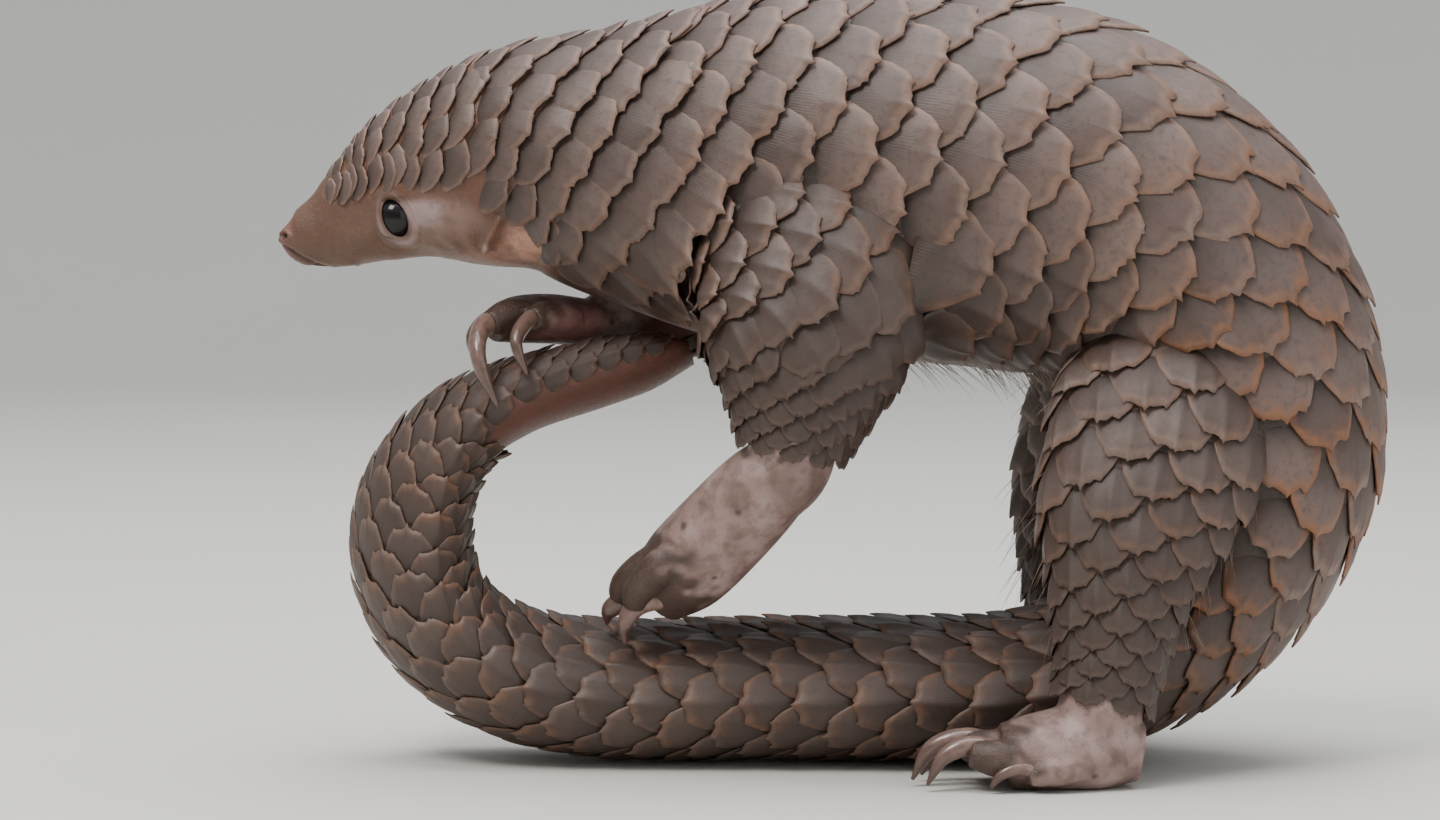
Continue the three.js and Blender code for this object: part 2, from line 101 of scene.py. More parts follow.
# Limbs: x, y, z, half size outward, half size across.
FORELEG_LEFT = [
    (-13.0, -13.0, 103.0, 9.0, 14.0),
    (-8.5, -20.0, 92.0, 10.0, 17.4),
    (-5.6, -24.8, 81.0, 9.8, 18.4),
    (-6.2, -26.2, 71.5, 9.2, 17.0),
    (-7.4, -26.2, 62.0, 8.0, 12.0),
    (-9.2, -25.5, 53.0, 6.8, 8.0),
]
FORELEG_RIGHT = [
    (-13.0, 13.0, 103.0, 9.0, 14.0),
    (-9.0, 20.0, 92.0, 10.0, 16.0),
    (-7.6, 23.0, 82.0, 9.0, 13.0),
    (-9.0, 23.0, 72.0, 6.0, 8.0),
]
FOREARM_RIGHT = [
    (-4.0, 23.0, 79.0, 6.0, 7.0),
    (-15.0, 21.0, 78.0, 7.6, 8.0),
    (-28.0, 15.4, 77.6, 6.6, 6.6),
    (-39.0, 10.4, 77.8, 5.6, 5.2),
]
HIND_LEG = [
    (60.0, 12.0, 74.0, 10.0, 16.0),
    (55.0, 21.5, 60.0, 11.4, 19.0),
    (49.0, 28.4, 45.0, 10.0, 16.0),
    (46.0, 31.4, 31.0, 8.4, 11.2),
    (44.4, 32.6, 19.0, 7.4, 8.8),
    (42.6, 33.2, 11.0, 6.8, 8.0),
]
FOREFOOT_LEFT = [
    (-6.4, -25.8, 56.0, 5.0, 5.2),
    (-12.8, -24.0, 49.8, 6.8, 7.6),
    (-19.8, -19.8, 42.2, 7.2, 8.2),
    (-26.6, -14.8, 35.0, 7.2, 8.0),
    (-31.6, -11.6, 30.4, 5.4, 6.0),
]
FOREFOOT_RIGHT = [
    (-37.0, 11.4, 76.2, 4.4, 4.0),
    (-44.0, 7.6, 76.4, 5.6, 4.2),
    (-51.0, 3.0, 77.2, 5.8, 4.4),
    (-57.0, -1.4, 77.0, 5.4, 4.0),
    (-60.0, -3.8, 75.8, 3.4, 2.6),
]
HIND_FOOT = [
    (50.0, 33.2, 5.6, 4.4, 4.8),
    (43.0, 33.2, 6.6, 7.6, 7.6),
    (34.0, 33.2, 5.8, 8.2, 6.8),
    (26.4, 33.2, 4.6, 8.0, 5.6),
    (21.4, 33.2, 3.6, 6.0, 4.2),
]
# Claws: where each leaves the foot, two points it bends through, its tip and its half thickness.
CLAWS_LEFT = [
    ((-30.2, -16.6, 30.0), (-34.8, -17.4, 28.6), (-37.0, -17.0, 25.2), (-36.8, -16.6, 21.8), 1.7),
    ((-31.4, -12.0, 30.0), (-36.8, -11.6, 29.2), (-39.8, -11.0, 27.0), (-40.2, -10.6, 24.8), 1.9),
    ((-30.6, -7.6, 30.0), (-35.2, -5.8, 29.6), (-38.0, -4.8, 28.2), (-38.8, -4.4, 26.4), 1.7),
]
CLAWS_RIGHT = [
    ((-55.0, 1.6, 77.6), (-61.0, 0.4, 77.0), (-63.8, -1.4, 73.8), (-63.6, -2.4, 70.6), 1.6),
    ((-56.0, -2.4, 77.6), (-61.6, -8.8, 76.0), (-62.0, -13.6, 70.8), (-58.6, -14.8, 62.4), 1.8),
    ((-50.6, -0.6, 78.0), (-54.0, -8.0, 77.0), (-55.6, -12.6, 73.4), (-53.6, -13.8, 68.0), 1.5),
]
CLAWS_HIND = [
    ((26.4, 28.4, 6.4), (20.6, 27.6, 7.4), (16.2, 27.2, 5.6), (13.4, 27.0, 1.0), 1.6),
    ((26.0, 32.8, 6.6), (19.6, 32.8, 7.8), (14.6, 32.8, 6.0), (11.6, 32.8, 1.0), 1.8),
    ((26.4, 37.4, 6.4), (20.8, 38.2, 7.4), (16.6, 38.8, 5.6), (13.8, 39.2, 1.0), 1.6),
]
# The small outer claws of a hind foot
CLAWS_SMALL = [
    ((33.0, 26.0, 3.4), (28.6, 25.3, 4.0), (25.8, 25.0, 2.9), (24.2, 25.0, 0.9), 1.05),
    ((33.0, 40.5, 3.4), (28.6, 41.3, 4.0), (25.8, 41.6, 2.9), (24.2, 41.6, 0.9), 1.05),
]
# Toes: places and radii from inside the foot to where the claw comes out.
TOES_LEFT = [
    [
        (-24.5, -19.5, 40.0, 2.6),
        (-30.5, -20.0, 35.6, 3.2),
        (-34.6, -18.6, 31.2, 2.7),
        (-35.4, -17.6, 28.4, 1.9),
    ],
    [
        (-26.0, -14.5, 38.5, 3.0),
        (-32.2, -14.2, 35.2, 3.6),
        (-36.6, -12.6, 31.8, 3.0),
        (-38.0, -11.5, 29.2, 2.1),
    ],
    [
        (-25.5, -10.0, 37.0, 2.6),
        (-31.0, -8.4, 34.6, 3.2),
        (-35.2, -6.6, 31.8, 2.7),
        (-36.6, -5.5, 29.6, 1.9),
    ],
]
TOES_RIGHT = [
    [(-50.0, 4.0, 77.4, 2.6), (-56.0, 2.4, 77.8, 2.8), (-60.4, 0.8, 77.0, 2.1)],
    [(-51.0, 0.0, 77.4, 2.8), (-57.0, -4.0, 78.0, 3.0), (-60.6, -7.4, 76.6, 2.2)],
    [(-46.0, 1.5, 77.0, 2.4), (-50.4, -3.0, 77.8, 2.7), (-53.2, -6.6, 77.4, 2.0)],
]
TOES_HIND = [
    [(32.0, 28.2, 5.6, 3.2), (25.6, 27.2, 5.4, 3.2), (21.0, 27.6, 6.2, 2.3)],
    [(32.0, 33.2, 6.0, 3.4), (25.0, 33.0, 6.0, 3.5), (20.2, 32.8, 6.9, 2.5)],
    [(32.0, 38.2, 5.6, 3.2), (25.6, 39.0, 5.4, 3.2), (21.0, 38.4, 6.2, 2.3)],
    [(40.0, 28.2, 4.6, 3.0), (34.4, 26.4, 3.4, 2.6), (30.6, 26.0, 2.6, 1.7)],
    [(40.0, 38.4, 4.6, 3.0), (34.4, 40.2, 3.4, 2.6), (30.6, 40.6, 2.6, 1.7)],
]
EYE = np.array([-76.6, -6.8, 95.0])
EYE_RADIUS = 3.8
EYE_OPENING = (2.05, 3.3)  # half its length and half its height
EYE_LEAN = 0.4  # radians that its upper end leans forward

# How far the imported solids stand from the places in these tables
low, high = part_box("eye_left")
SHIFT = np.array([(low[k] + high[k]) / 2 / MM for k in range(3)]) - EYE

# Least heights above the floor
SKIN_CLEAR, FOOT_CLEAR, SCALE_CLEAR = 0.3, 0.05, 0.03


def mirrored(rows):
    """The same rows on the other side."""
    return [(x, -y, *rest) for x, y, *rest in rows]


def mirrored_claws(rows):
    """The same claws on the other side."""
    return [[*mirrored(row[:4]), row[4]] for row in rows]


# The forms that skin, scales and claws follow


def spline(points, t, centripetal):
    """Catmull-Rom curve through points, at shares t of its rows."""
    points = np.asarray(points, float)
    last = len(points) - 1
    place = np.clip(np.asarray(t) * last, 0, last)
    i = np.minimum(place.astype(int), last - 1)
    w = (place - i)[:, None]
    padded = np.vstack([2 * points[0] - points[1], points, 2 * points[-1] - points[-2]])
    p0, p1, p2, p3 = (padded[i + k] for k in range(4))
    if centripetal:
        d0, d1, d2 = (
            np.maximum(np.linalg.norm(b - a, axis=1) ** 0.5, 1e-4)[:, None]
            for a, b in ((p0, p1), (p1, p2), (p2, p3))
        )
        t1 = ((p1 - p0) / d0 - (p2 - p0) / (d0 + d1) + (p2 - p1) / d1) * d1
        t2 = ((p2 - p1) / d1 - (p3 - p1) / (d1 + d2) + (p3 - p2) / d2) * d1
    else:
        t1 = 0.5 * (p2 - p0)
        t2 = 0.5 * (p3 - p1)
    return (
        p1
        + t1 * w
        + (-3 * p1 + 3 * p2 - 2 * t1 - t2) * w**2
        + (2 * p1 - 2 * p2 + t1 + t2) * w**3
    )


def unit(v):
    """Vectors brought to length 1."""
    return v / np.maximum(np.linalg.norm(v, axis=-1, keepdims=True), 1e-9)


class Form:
    """A solid swept along a smooth line, known by distance along it and share q round it."""

    STEPS = 40  # of the middle line, for each row of the table
    ROUND = 32  # places round half a section
    FINE = 64  # steps that half a section is measured in
    SKIP = 4  # steps of the middle line between the sections that inside looks at
    SLICE = 3  # millimetres along the line that such a section holds for

    def __init__(self, rows, direction, is_side=False):
        rows = np.array([list(row) + [0.0] * (6 - len(row)) for row in rows], float)
        n = (len(rows) - 1) * self.STEPS
        t = np.linspace(0, 1, n + 1)
        self.centre = spline(rows[:, :3], t, True)
        sizes = spline(rows[:, 3:6], t, False)
        self.depth = sizes[:, 0]
        self.width = sizes[:, 1]
        self.along = unit(np.gradient(self.centre, axis=0))
        steps = np.linalg.norm(np.diff(self.centre, axis=0), axis=1)
        self.lengths = np.concatenate([[0], np.cumsum(steps)])
        self.length = self.lengths[-1]
        direction = np.broadcast_to(np.array(direction, float), self.along.shape)
        if is_side:
            up = unit(np.cross(direction, self.along))
        else:
            up = unit(direction - self.along * np.sum(direction * self.along, 1)[:, None])
        side = np.cross(self.along, up)
        roll = np.radians(sizes[:, 2])[:, None]
        self.up = up * np.cos(roll) + side * np.sin(roll)
        self.side = np.cross(self.along, self.up)
        turn = (np.arange(self.FINE) + 0.5) / self.FINE * np.pi
        shares = np.linspace(0, 1, self.ROUND + 1)
        ends = np.arange(self.FINE + 1) / self.FINE * np.pi
        self.angles = np.empty((n + 1, self.ROUND + 1))
        self.girth = np.empty(n + 1)
        for k in range(n + 1):
            bits = np.hypot(self.depth[k] * np.sin(turn), self.width[k] * np.cos(turn))
            total = np.concatenate([[0], np.cumsum(bits * np.pi / self.FINE)])
            self.angles[k] = np.interp(shares * total[-1], total, ends)
            self.girth[k] = 2 * total[-1]

    def distance(self, row):
        """Distance along the middle line at a row of the table."""
        return np.interp(np.asarray(row) * self.STEPS, np.arange(len(self.lengths)), self.lengths)

    def row(self, s):
        """The row of the table at a distance along the middle line."""
        return np.interp(s, self.lengths, np.arange(len(self.lengths))) / self.STEPS

    def step(self, s):
        """The step of the middle line before each distance, and the share of the way to the next."""
        place = self.row(s) * self.STEPS
        i = np.clip(place.astype(int), 0, len(self.lengths) - 2)
        return i, place - i

    def at(self, values, s):
        """One of the form's own lists of values, at these distances."""
        i, w = self.step(s)
        if values.ndim > 1:
            w = np.asarray(w)[..., None]
        return values[i] * (1 - w) + values[i + 1] * w

    def parts(self, s, q):
        """Points and normals of the surface. q is 0 on the back, and 1 or -1 on the belly."""
        s, q = np.broadcast_arrays(np.asarray(s, float), np.asarray(q, float))
        q = (q + 1) % 2 - 1
        i, w = self.step(s)
        place = np.abs(q) * self.ROUND
        j = np.clip(place.astype(int), 0, self.ROUND - 1)
        v = place - j
        near = self.angles[i, j] * (1 - v) + self.angles[i, j + 1] * v
        far = self.angles[i + 1, j] * (1 - v) + self.angles[i + 1, j + 1] * v
        angle = np.sign(q) * (near * (1 - w) + far * w)
        cosine, sine = np.cos(angle)[..., None], np.sin(angle)[..., None]
        depth = self.at(self.depth, s)[..., None]
        width = self.at(self.width, s)[..., None]
        up, side = self.at(self.up, s), self.at(self.side, s)
        point = self.at(self.centre, s) + up * cosine * depth + side * sine * width
        normal = unit(up * cosine / depth + side * sine / width)
        return point, normal

    def point(self, s, q, rise=0.0):
        """Points of the surface, raised by a length."""
        point, normal = self.parts(s, q)
        return point + normal * np.asarray(rise)[..., None]

    def inside(self, points, grow=0.0):
        """True where a point lies in the form, grown by a length."""
        points = np.asarray(points, float)
        flat = points.reshape(-1, 3)
        kept = np.arange(0, len(self.centre), self.SKIP)
        gap = np.linalg.norm(flat[:, None] - self.centre[kept][None], axis=2)
        k = kept[np.argmin(gap, axis=1)]
        rel = flat - self.centre[k]
        a = np.sum(rel * self.up[k], 1) / (self.depth[k] + grow)
        b = np.sum(rel * self.side[k], 1) / (self.width[k] + grow)
        c = np.abs(np.sum(rel * self.along[k], 1))
        inside = (a * a + b * b < 1) & (c < self.SLICE + grow)
        return inside.reshape(points.shape[:-1])


LEFT = (0, -1, 0)
RIGHT = (0, 1, 0)
CLAW_UPWARD, TOE_UPWARD = (0.05, 0.1, 1), (0.1, 0.2, 1)  # along no claw's or toe's own line
BODY = Form([(x, 0, z, *rest) for x, z, *rest in BODY_ROWS], LEFT, True)
FORMS = {
    "foreleg_left": Form(FORELEG_LEFT, LEFT),
    "foreleg_right": Form(FORELEG_RIGHT, RIGHT),
    "forearm_right": Form(FOREARM_RIGHT, RIGHT),
    "hind_leg_left": Form(mirrored(HIND_LEG), LEFT),
    "hind_leg_right": Form(HIND_LEG, RIGHT),
}


# Meshes


def mesh_object(name, vertices, faces):
    """A smooth mesh in the frame's metres, from millimetres of the tables' own place."""
    mesh = bpy.data.meshes.new(name)
    points = (np.asarray(vertices, float).reshape(-1, 3) + SHIFT) * MM
    mesh.from_pydata(points.tolist(), [], faces)
    mesh.update()
    obj = bpy.data.objects.new(name, mesh)
    bpy.context.collection.objects.link(obj)
    mesh.shade_smooth()
    return obj


def outward(obj):
    """Merges the doubles of a closed mesh and turns its faces outward."""
    bm = bmesh.new()
    bm.from_mesh(obj.data)
    bmesh.ops.remove_doubles(bm, verts=bm.verts, dist=1e-7)
    bmesh.ops.recalc_face_normals(bm, faces=bm.faces)
    bm.to_mesh(obj.data)
    bm.free()
    obj.data.update()
    return obj


def tube_faces(rings, sides):
    """Faces of a closed tube, with a middle vertex at each end after those of the rings."""
    faces = []
    for i in range(rings - 1):
        for j in range(sides):
            k = (j + 1) % sides
            faces.append((i * sides + j, (i + 1) * sides + j, (i + 1) * sides + k, i * sides + k))
    start, end = rings * sides, rings * sides + 1
    for j in range(sides):
        k = (j + 1) % sides
        faces.append((start, j, k))
        faces.append((end, (rings - 1) * sides + k, (rings - 1) * sides + j))
    return faces


def repeated(faces, count, size):
    """The faces of count copies of one shape, each of so many vertices."""
    base = np.array(faces)
    every = base[None] + (np.arange(count) * size)[:, None, None]
    return every.reshape(-1, 4).tolist()


def loft(form, name, distances, sides, change=None):
    """A closed mesh of the form at these distances; change moves its points."""
    s = np.repeat(np.asarray(distances, float), sides)
    q = np.tile(np.arange(sides) * 2 / sides - 1, len(distances))
    points, normals = form.parts(s, q)
    if change is not None:
        points = change(points, normals, s)
    ends = np.array([points[:sides].mean(0), points[-sides:].mean(0)])
    obj = mesh_object(name, np.vstack([points, ends]), tube_faces(len(distances), sides))
    return outward(obj)


def only(*objects):
    """Selects these alone, the first of them active."""
    bpy.ops.object.select_all(action="DESELECT")
    for obj in objects:
        obj.select_set(True)
    bpy.context.view_layer.objects.active = objects[0]


def applied(obj, kind, **settings):
    """Adds one modifier and applies it."""
    only(obj)
    modifier = obj.modifiers.new(kind.title(), kind)
    for key, value in settings.items():
        setattr(modifier, key, value)
    bpy.ops.object.modifier_apply(modifier=modifier.name)


def joined(objects, name):
    """Makes one mesh of several."""
    only(*objects)
    bpy.ops.object.join()
    obj = bpy.context.view_layer.objects.active
    obj.name = name
    obj.data.name = name
    return obj


def own_points(obj):
    """A mesh's vertices in millimetres of the tables' own place."""
    points = np.empty(len(obj.data.vertices) * 3)
    obj.data.vertices.foreach_get("co", points)
    return points.reshape(-1, 3) / MM - SHIFT


def own_normals(obj):
    """A mesh's vertex normals."""
    normals = np.empty(len(obj.data.vertices) * 3)
    obj.data.vertices.foreach_get("normal", normals)
    return normals.reshape(-1, 3)


def set_points(obj, points):
    """Moves a mesh's vertices, the other way round of own_points."""
    obj.data.vertices.foreach_set("co", ((points + SHIFT) * MM).ravel())
    obj.data.update()


def set_values(obj, name, numbers):
    """Gives each vertex a number that a material reads."""
    attribute = obj.data.attributes.new(name, "FLOAT", "POINT")
    attribute.data.foreach_set("value", np.asarray(numbers, np.float32))


def set_colours(obj, colours):
    """Gives each vertex the colour that the skin's material reads."""
    attribute = obj.data.color_attributes.new("Tint", "FLOAT_COLOR", "POINT")
    full = np.ones((len(colours), 4))
    full[:, :3] = colours
    attribute.data.foreach_set("color", full.ravel())


def set_map(obj, uv):
    """The piece's own unwrap, from a place for each vertex."""
    layer = obj.data.uv_layers.new(name="OFBake")
    corners = np.empty(len(obj.data.loops), np.int32)
    obj.data.loops.foreach_get("vertex_index", corners)
    layer.data.foreach_set("uv", uv[corners].ravel())


# Colours and soft shares


def linear(red, green, blue):
    """A colour as the eye names it, 0 to 255, in the renderer's own scale."""
    shares = (c / 255 for c in (red, green, blue))
    return tuple(c / 12.92 if c <= 0.04045 else ((c + 0.055) / 1.055) ** 2.4 for c in shares)


FACE = linear(96, 67, 50)
# the muzzle's own colour, also used as painted shade beside the ear's ridge
MUZZLE_AND_SHADE = linear(90, 61, 45)
NOSE = linear(112, 72, 60)
CHEEK = linear(128, 100, 90)
PATCH = linear(150, 128, 126)
EAR_EDGE = linear(206, 186, 176)
FOLD = linear(176, 130, 110)
THROAT = linear(136, 98, 80)
# painted shade on the lower belly
BELLY_SHADE = linear(84, 64, 54)
# painted shade under the edge of the head's scales
BROW_SHADE = linear(92, 56, 38)
# painted shade: the gaps between scales, the eye's opening, the nostrils and the mouth's groove
PAINTED_DARK_SHADE = linear(52, 42, 36)
PAW = linear(144, 118, 112)
PAW_DARK = linear(58, 40, 30)
PAW_PALE = linear(170, 150, 144)
PALM = linear(156, 104, 100)
PAD = linear(104, 62, 50)


def smooth(edge0, edge1, x):
    """0 before the first edge and 1 past the second, soft between."""
    t = np.clip((x - edge0) / (edge1 - edge0), 0, 1)
    return t * t * (3 - 2 * t)


def ridge(x, middle, width):
    """1 at the middle, falling off softly on both sides."""
    return np.exp(-(((x - middle) / width) ** 2))


def spot(points, centre, radii):
    """1 at the centre of a soft ellipsoid, falling to 0 at its edge."""
    d = np.linalg.norm((points - np.array(centre)) / np.array(radii), axis=1)
    return 1 - smooth(0.35, 1.0, d)


def mixed(base, colour, share):
    """Colours moved towards one colour by a share for each."""
    return base + (np.array(colour) - base) * np.asarray(share)[:, None]


def waves(points, scale, seed):
    """Smooth cloudy values between about -1 and 1."""
    random = np.random.default_rng(seed)
    total = np.zeros(len(points))
    for k in range(10):
        direction = random.normal(size=3)
        direction /= np.linalg.norm(direction)
        pitch, start = random.uniform(0.6, 1.7), random.uniform(0, 6.3)
        total += np.sin(points @ direction * scale * pitch + start)
    return total / 4.5


# The head. Its features are given in the side view as x and z, or in space on the left side.

MOUTH = [(-96.4, 90.2), (-94.0, 88.4), (-91.0, 86.7), (-88.0, 85.8), (-84.5, 86.2)]
EAR = [(-58.4, 94.8), (-60.0, 92.2), (-61.2, 89.2), (-60.0, 86.8)]
EAR_HOLLOW, EAR_HOLLOW_RADII = (-57.2, 90.0), (2.4, 3.6)
EAR_SPOT = ((-61.4, -14, 89.3), (1.4, 6, 1.9))
NOSTRIL, NOSTRIL_RADII = (-95.9, -2.2, 91.7), (0.75, 0.9, 0.5)
BROW_LINE = [(-84, 98.6), (-80, 99.6), (-64, 99.8), (-60, 96)]
MOUTH_SIDE, EYE_SIDE, EAR_SIDE = -0.25, -5, -8  # each feature lies beyond this y

# Swellings and hollows: how far the skin moves out, centre and radii
FACE_FORMS = [
    (0.9, (-70, -11, 92.5), (9, 9, 7)),  # cheek
    (-0.5, (-84.5, -8, 95.5), (6, 5, 4)),  # before the eye
    (0.5, (-95.5, -1.5, 91.5), (2.6, 3, 2.6)),  # tip of the snout
    (0.45, (-76, -9.5, 99.8), (6, 4, 2.2)),  # brow
]
EAR_FOLD = ((-54.0, -14, 89.5), (6, 9, 4.6))  # the broad fold of skin behind the ear
CHEEK_WRINKLES = ((-66, -12, 90), (11, 8, 8))
MUZZLE_WRINKLES = ((-87, -6, 93), (7, 6, 6))

# Rings round the eye: how far the skin moves out, where, with 1 at the lids' edge, and the width
LID_RINGS = [(0.2, 1.16, 0.13), (-0.22, 1.5, 0.13), (-0.1, 1.95, 0.12)]
LID_OVER, LID_LEAST = 0.28, 0.14  # how far the lids lie over the ball, and the least
LID_DEEPEST = 0.5  # the lids are set back by no more than this
SOCKET = 1.0  # in the opening the skin lies so far behind the ball's surface

# Soft patches of colour: colour, strength, centre and radii
SKIN_PATCHES = [
    (CHEEK, 0.85, (-68.5, -11, 95.0), (10, 9, 7)),
    (THROAT, 0.8, (-60, -10, 86.0), (13, 12, 6)),
    (PATCH, 0.95, (-71.6, -11, 96.4), (5.2, 8, 4.6)),
    (FOLD, 0.95, (-54.6, -14, 89.6), (7.5, 12, 6.0)),
]


def on_left(points):
    """The points folded on to the left side."""
    folded = points.copy()
    folded[:, 1] = -np.abs(folded[:, 1])
    return folded


def line_gap(points, line):
    """Distance in the side view from a line of corners."""
    line = np.array(line, float)
    best = np.full(len(points), 1e9)
    for a, b in zip(line[:-1], line[1:]):
        ab = b - a
        t = np.clip(((points - a) @ ab) / (ab @ ab), 0, 1)
        best = np.minimum(best, np.linalg.norm(points - a - t[:, None] * ab, axis=1))
    return best


def nostril_gap(folded):
    """How far a place is from the nostril's middle, with 1 at its edge."""
    return np.linalg.norm((folded - np.array(NOSTRIL)) / np.array(NOSTRIL_RADII), axis=1)


def eye_place(xz):
    """How far a place in the side view is from the eye: 1 at the lids' edge, and in millimetres."""
    dx, dz = xz[:, 0] - EYE[0], xz[:, 1] - EYE[2]
    c, s = math.cos(EYE_LEAN), math.sin(EYE_LEAN)
    long, wide = dz * c - dx * s, dx * c + dz * s
    # narrower at the top than below
    half = EYE_OPENING[0] * (1 - 0.10 * np.clip(long / EYE_OPENING[1], -1, 1))
    return np.hypot(wide / half, long / EYE_OPENING[1]), np.hypot(dx, dz)


def with_lids(folded, face):
    """How far out the face lies once the lids follow the ball of the eye."""
    gap, far = eye_place(folded[:, [0, 2]])
    ball = -EYE[1] + np.sqrt(np.maximum(EYE_RADIUS**2 - far**2, 0.0))
    on_side = folded[:, 1] < EYE_SIDE
    lid = np.maximum(ball + LID_OVER, face - LID_DEEPEST)
    level = face + (lid - face) * ((1 - smooth(1.0, 1.5, gap)) * on_side)
    opening = (1 - smooth(0.95, 1.0, gap)) * on_side
    level += (np.minimum(ball - SOCKET, level) - level) * opening
    for height, middle, width in LID_RINGS:
        level += height * ridge(gap, middle, width) * on_side
    covered = on_side & (gap > 1.0) & (far < EYE_RADIUS)
    return np.where(covered, np.maximum(level, ball + LID_LEAST), level)


def sculpt_head(points, normals):
    """Lids round the eye, nostrils, mouth, cheek and the ear's low ridge."""
    folded = on_left(points)
    xz = folded[:, [0, 2]]
    out = np.zeros(len(points))
    for height, centre, radii in FACE_FORMS:
        out += height * spot(folded, centre, radii)
    # the mouth's groove and the lip above it
    gap = line_gap(xz, MOUTH)
    on_side = folded[:, 1] < MOUTH_SIDE
    out -= 0.55 * ridge(gap, 0, 0.28) * on_side
    out += 0.22 * ridge(gap, 0.8, 0.5) * on_side
    # the nostril and its rim
    hole = nostril_gap(folded)
    out -= 0.9 * (1 - smooth(0.5, 1.3, hole))
    out += 0.25 * ridge(hole, 1.6, 0.5)
    # the ear: a low upright ridge with a hollow behind it
    on_side = folded[:, 1] < EAR_SIDE
    out += 1.25 * ridge(line_gap(xz, EAR), 0, 0.8) * on_side
    hollow = np.linalg.norm((xz - np.array(EAR_HOLLOW)) / np.array(EAR_HOLLOW_RADII), axis=1)
    out -= 0.6 * (1 - smooth(0.2, 1.1, hollow)) * on_side
    # wrinkles on cheek, throat and muzzle
    fold = np.sin((xz[:, 0] * 0.8 + xz[:, 1] * 0.5) * 2.1 + 1.2 * waves(folded, 0.5, 41))
    out += 0.13 * fold * spot(folded, *CHEEK_WRINKLES)
    out += 0.16 * waves(folded, 0.7, 42) * smooth(-58, -64, xz[:, 0])
    fold = np.sin(xz[:, 0] * 3.4 + 0.8 * waves(folded, 0.6, 43))
    out += 0.07 * fold * spot(folded, *MUZZLE_WRINKLES)
    out += 0.8 * spot(folded, *EAR_FOLD)
    moved = points + normals * out[:, None]
    moved[:, 1] = np.sign(points[:, 1]) * with_lids(folded, np.abs(moved[:, 1]))
    return moved


def skin_colours(points):
    """The bare skin's colours by place, with painted shade in its hollows and between the scales."""
    folded = on_left(points)
    xz = folded[:, [0, 2]]
    x, y, z = folded.T
    head = (1 - smooth(-52, -46, x)) * smooth(80, 82, z)
    layers = [
        (FACE, head),
        (MUZZLE_AND_SHADE, head * (1 - smooth(-90, -82, x))),
        (NOSE, 1 - smooth(-96.2, -93.4, x)),
    ]
    layers += [(colour, share * spot(folded, *place)) for colour, share, *place in SKIN_PATCHES]
    # painted shade beside the ear's ridge, with a pale spot at its front
    layers.append((MUZZLE_AND_SHADE, 0.5 * ridge(line_gap(xz, EAR), 1.3, 0.6) * (y < EAR_SIDE)))
    layers.append((EAR_EDGE, spot(folded, *EAR_SPOT)))
    # painted shade, brown, from just under the edge of the head's scales at the brow up
    line_x, line_z = zip(*BROW_LINE)
    over = z - np.interp(x, line_x, line_z)
    over = np.where((x > line_x[0]) & (x < line_x[-1]), over, -9)
    layers.append((BROW_SHADE, 0.8 * smooth(-2.8, -1.0, over)))
    # a pale ring round the eye, mostly below it, and painted shade in the opening
    gap, _ = eye_place(xz)
    on_side = y < EYE_SIDE
    below = 0.35 + 0.65 * smooth(1.5, -2.5, z - EYE[2])
    layers.append((PATCH, 0.75 * below * on_side * ridge(gap, 1.42, 0.22)))
    layers.append((PAINTED_DARK_SHADE, 0.9 * on_side * (1 - smooth(0.98, 1.1, gap))))
    # painted shade in the nostril and in the mouth's groove
    layers.append((PAINTED_DARK_SHADE, 0.8 * (1 - smooth(0.6, 1.4, nostril_gap(folded)))))
    layers.append((PAINTED_DARK_SHADE, 0.6 * ridge(line_gap(xz, MOUTH), 0, 0.35) * head))
    # painted shade on the belly, darker further down
    belly = smooth(-50, -40, x) * (z > 60) * (x < 60)
    layers.append((BELLY_SHADE, 0.7 * belly * (1 - smooth(82, 92, z))))
    # the bare pad near the tail's tip
    pad = (x > -60) & (x < -22) & (z > 52) & (z < 78) & (np.abs(y) < 13)
    layers.append((PAD, 0.9 * pad))
    # the skin starts in painted shade, which shows in the gaps between the scales
    colours = np.tile(np.array(PAINTED_DARK_SHADE), (len(points), 1))
    for colour, share in layers:
        colours = mixed(colours, colour, share)
    return colours


# Skin and feet

HEAD_END = 6.2  # the body's row up to which rings stand close together
HEAD_RINGS, REST_RINGS, SKIN_SIDES = 118, 190, 128
LIMB_RINGS, LIMB_SIDES = 44, 48
FOOT_RINGS, FOOT_SIDES, TOE_SIDES = 26, 36, 20
CLAW_RINGS, CLAW_SIDES = 22, 18
FOOT_VOXEL = 0.4

# Where the face's mesh is cut finer: x, z, reach, and the parts that each edge is cut in
FINER = [
    (EYE[0], EYE[2], 6.4, 4),
    (-59.8, 91.0, 5.5, 2),  # ear
    (-95.0, 91.0, 3.5, 2),  # nostril
    (-90.0, 88.0, 7.0, 2),  # mouth
]
# Skin from the leg into the foot: shares of the leg's length and of its thickness there
ANKLE = [(0.8, 0.74), (0.9, 0.86), (1.0, 0.98)]


def finer_face(skin):
    """Cuts the mesh finer round eyes, ears, nostrils and mouth."""
    bm = bmesh.new()
    bm.from_mesh(skin.data)
    for x, z, reach, parts in FINER:
        edges = []
        for edge in bm.edges:
            middle = (edge.verts[0].co + edge.verts[1].co) / 2 / MM
            dx, dz = middle.x - SHIFT[0] - x, middle.z - SHIFT[2] - z
            off_middle = abs(middle.y) > 3 or x < -80
            if dx * dx + dz * dz < reach * reach and off_middle:
                edges.append(edge)
        bmesh.ops.subdivide_edges(bm, edges=edges, cuts=parts - 1, use_grid_fill=True)
    bmesh.ops.triangulate(bm, faces=[f for f in bm.faces if len(f.verts) > 4])
    bm.normal_update()
    bm.to_mesh(skin.data)
    bm.free()
    skin.data.update()


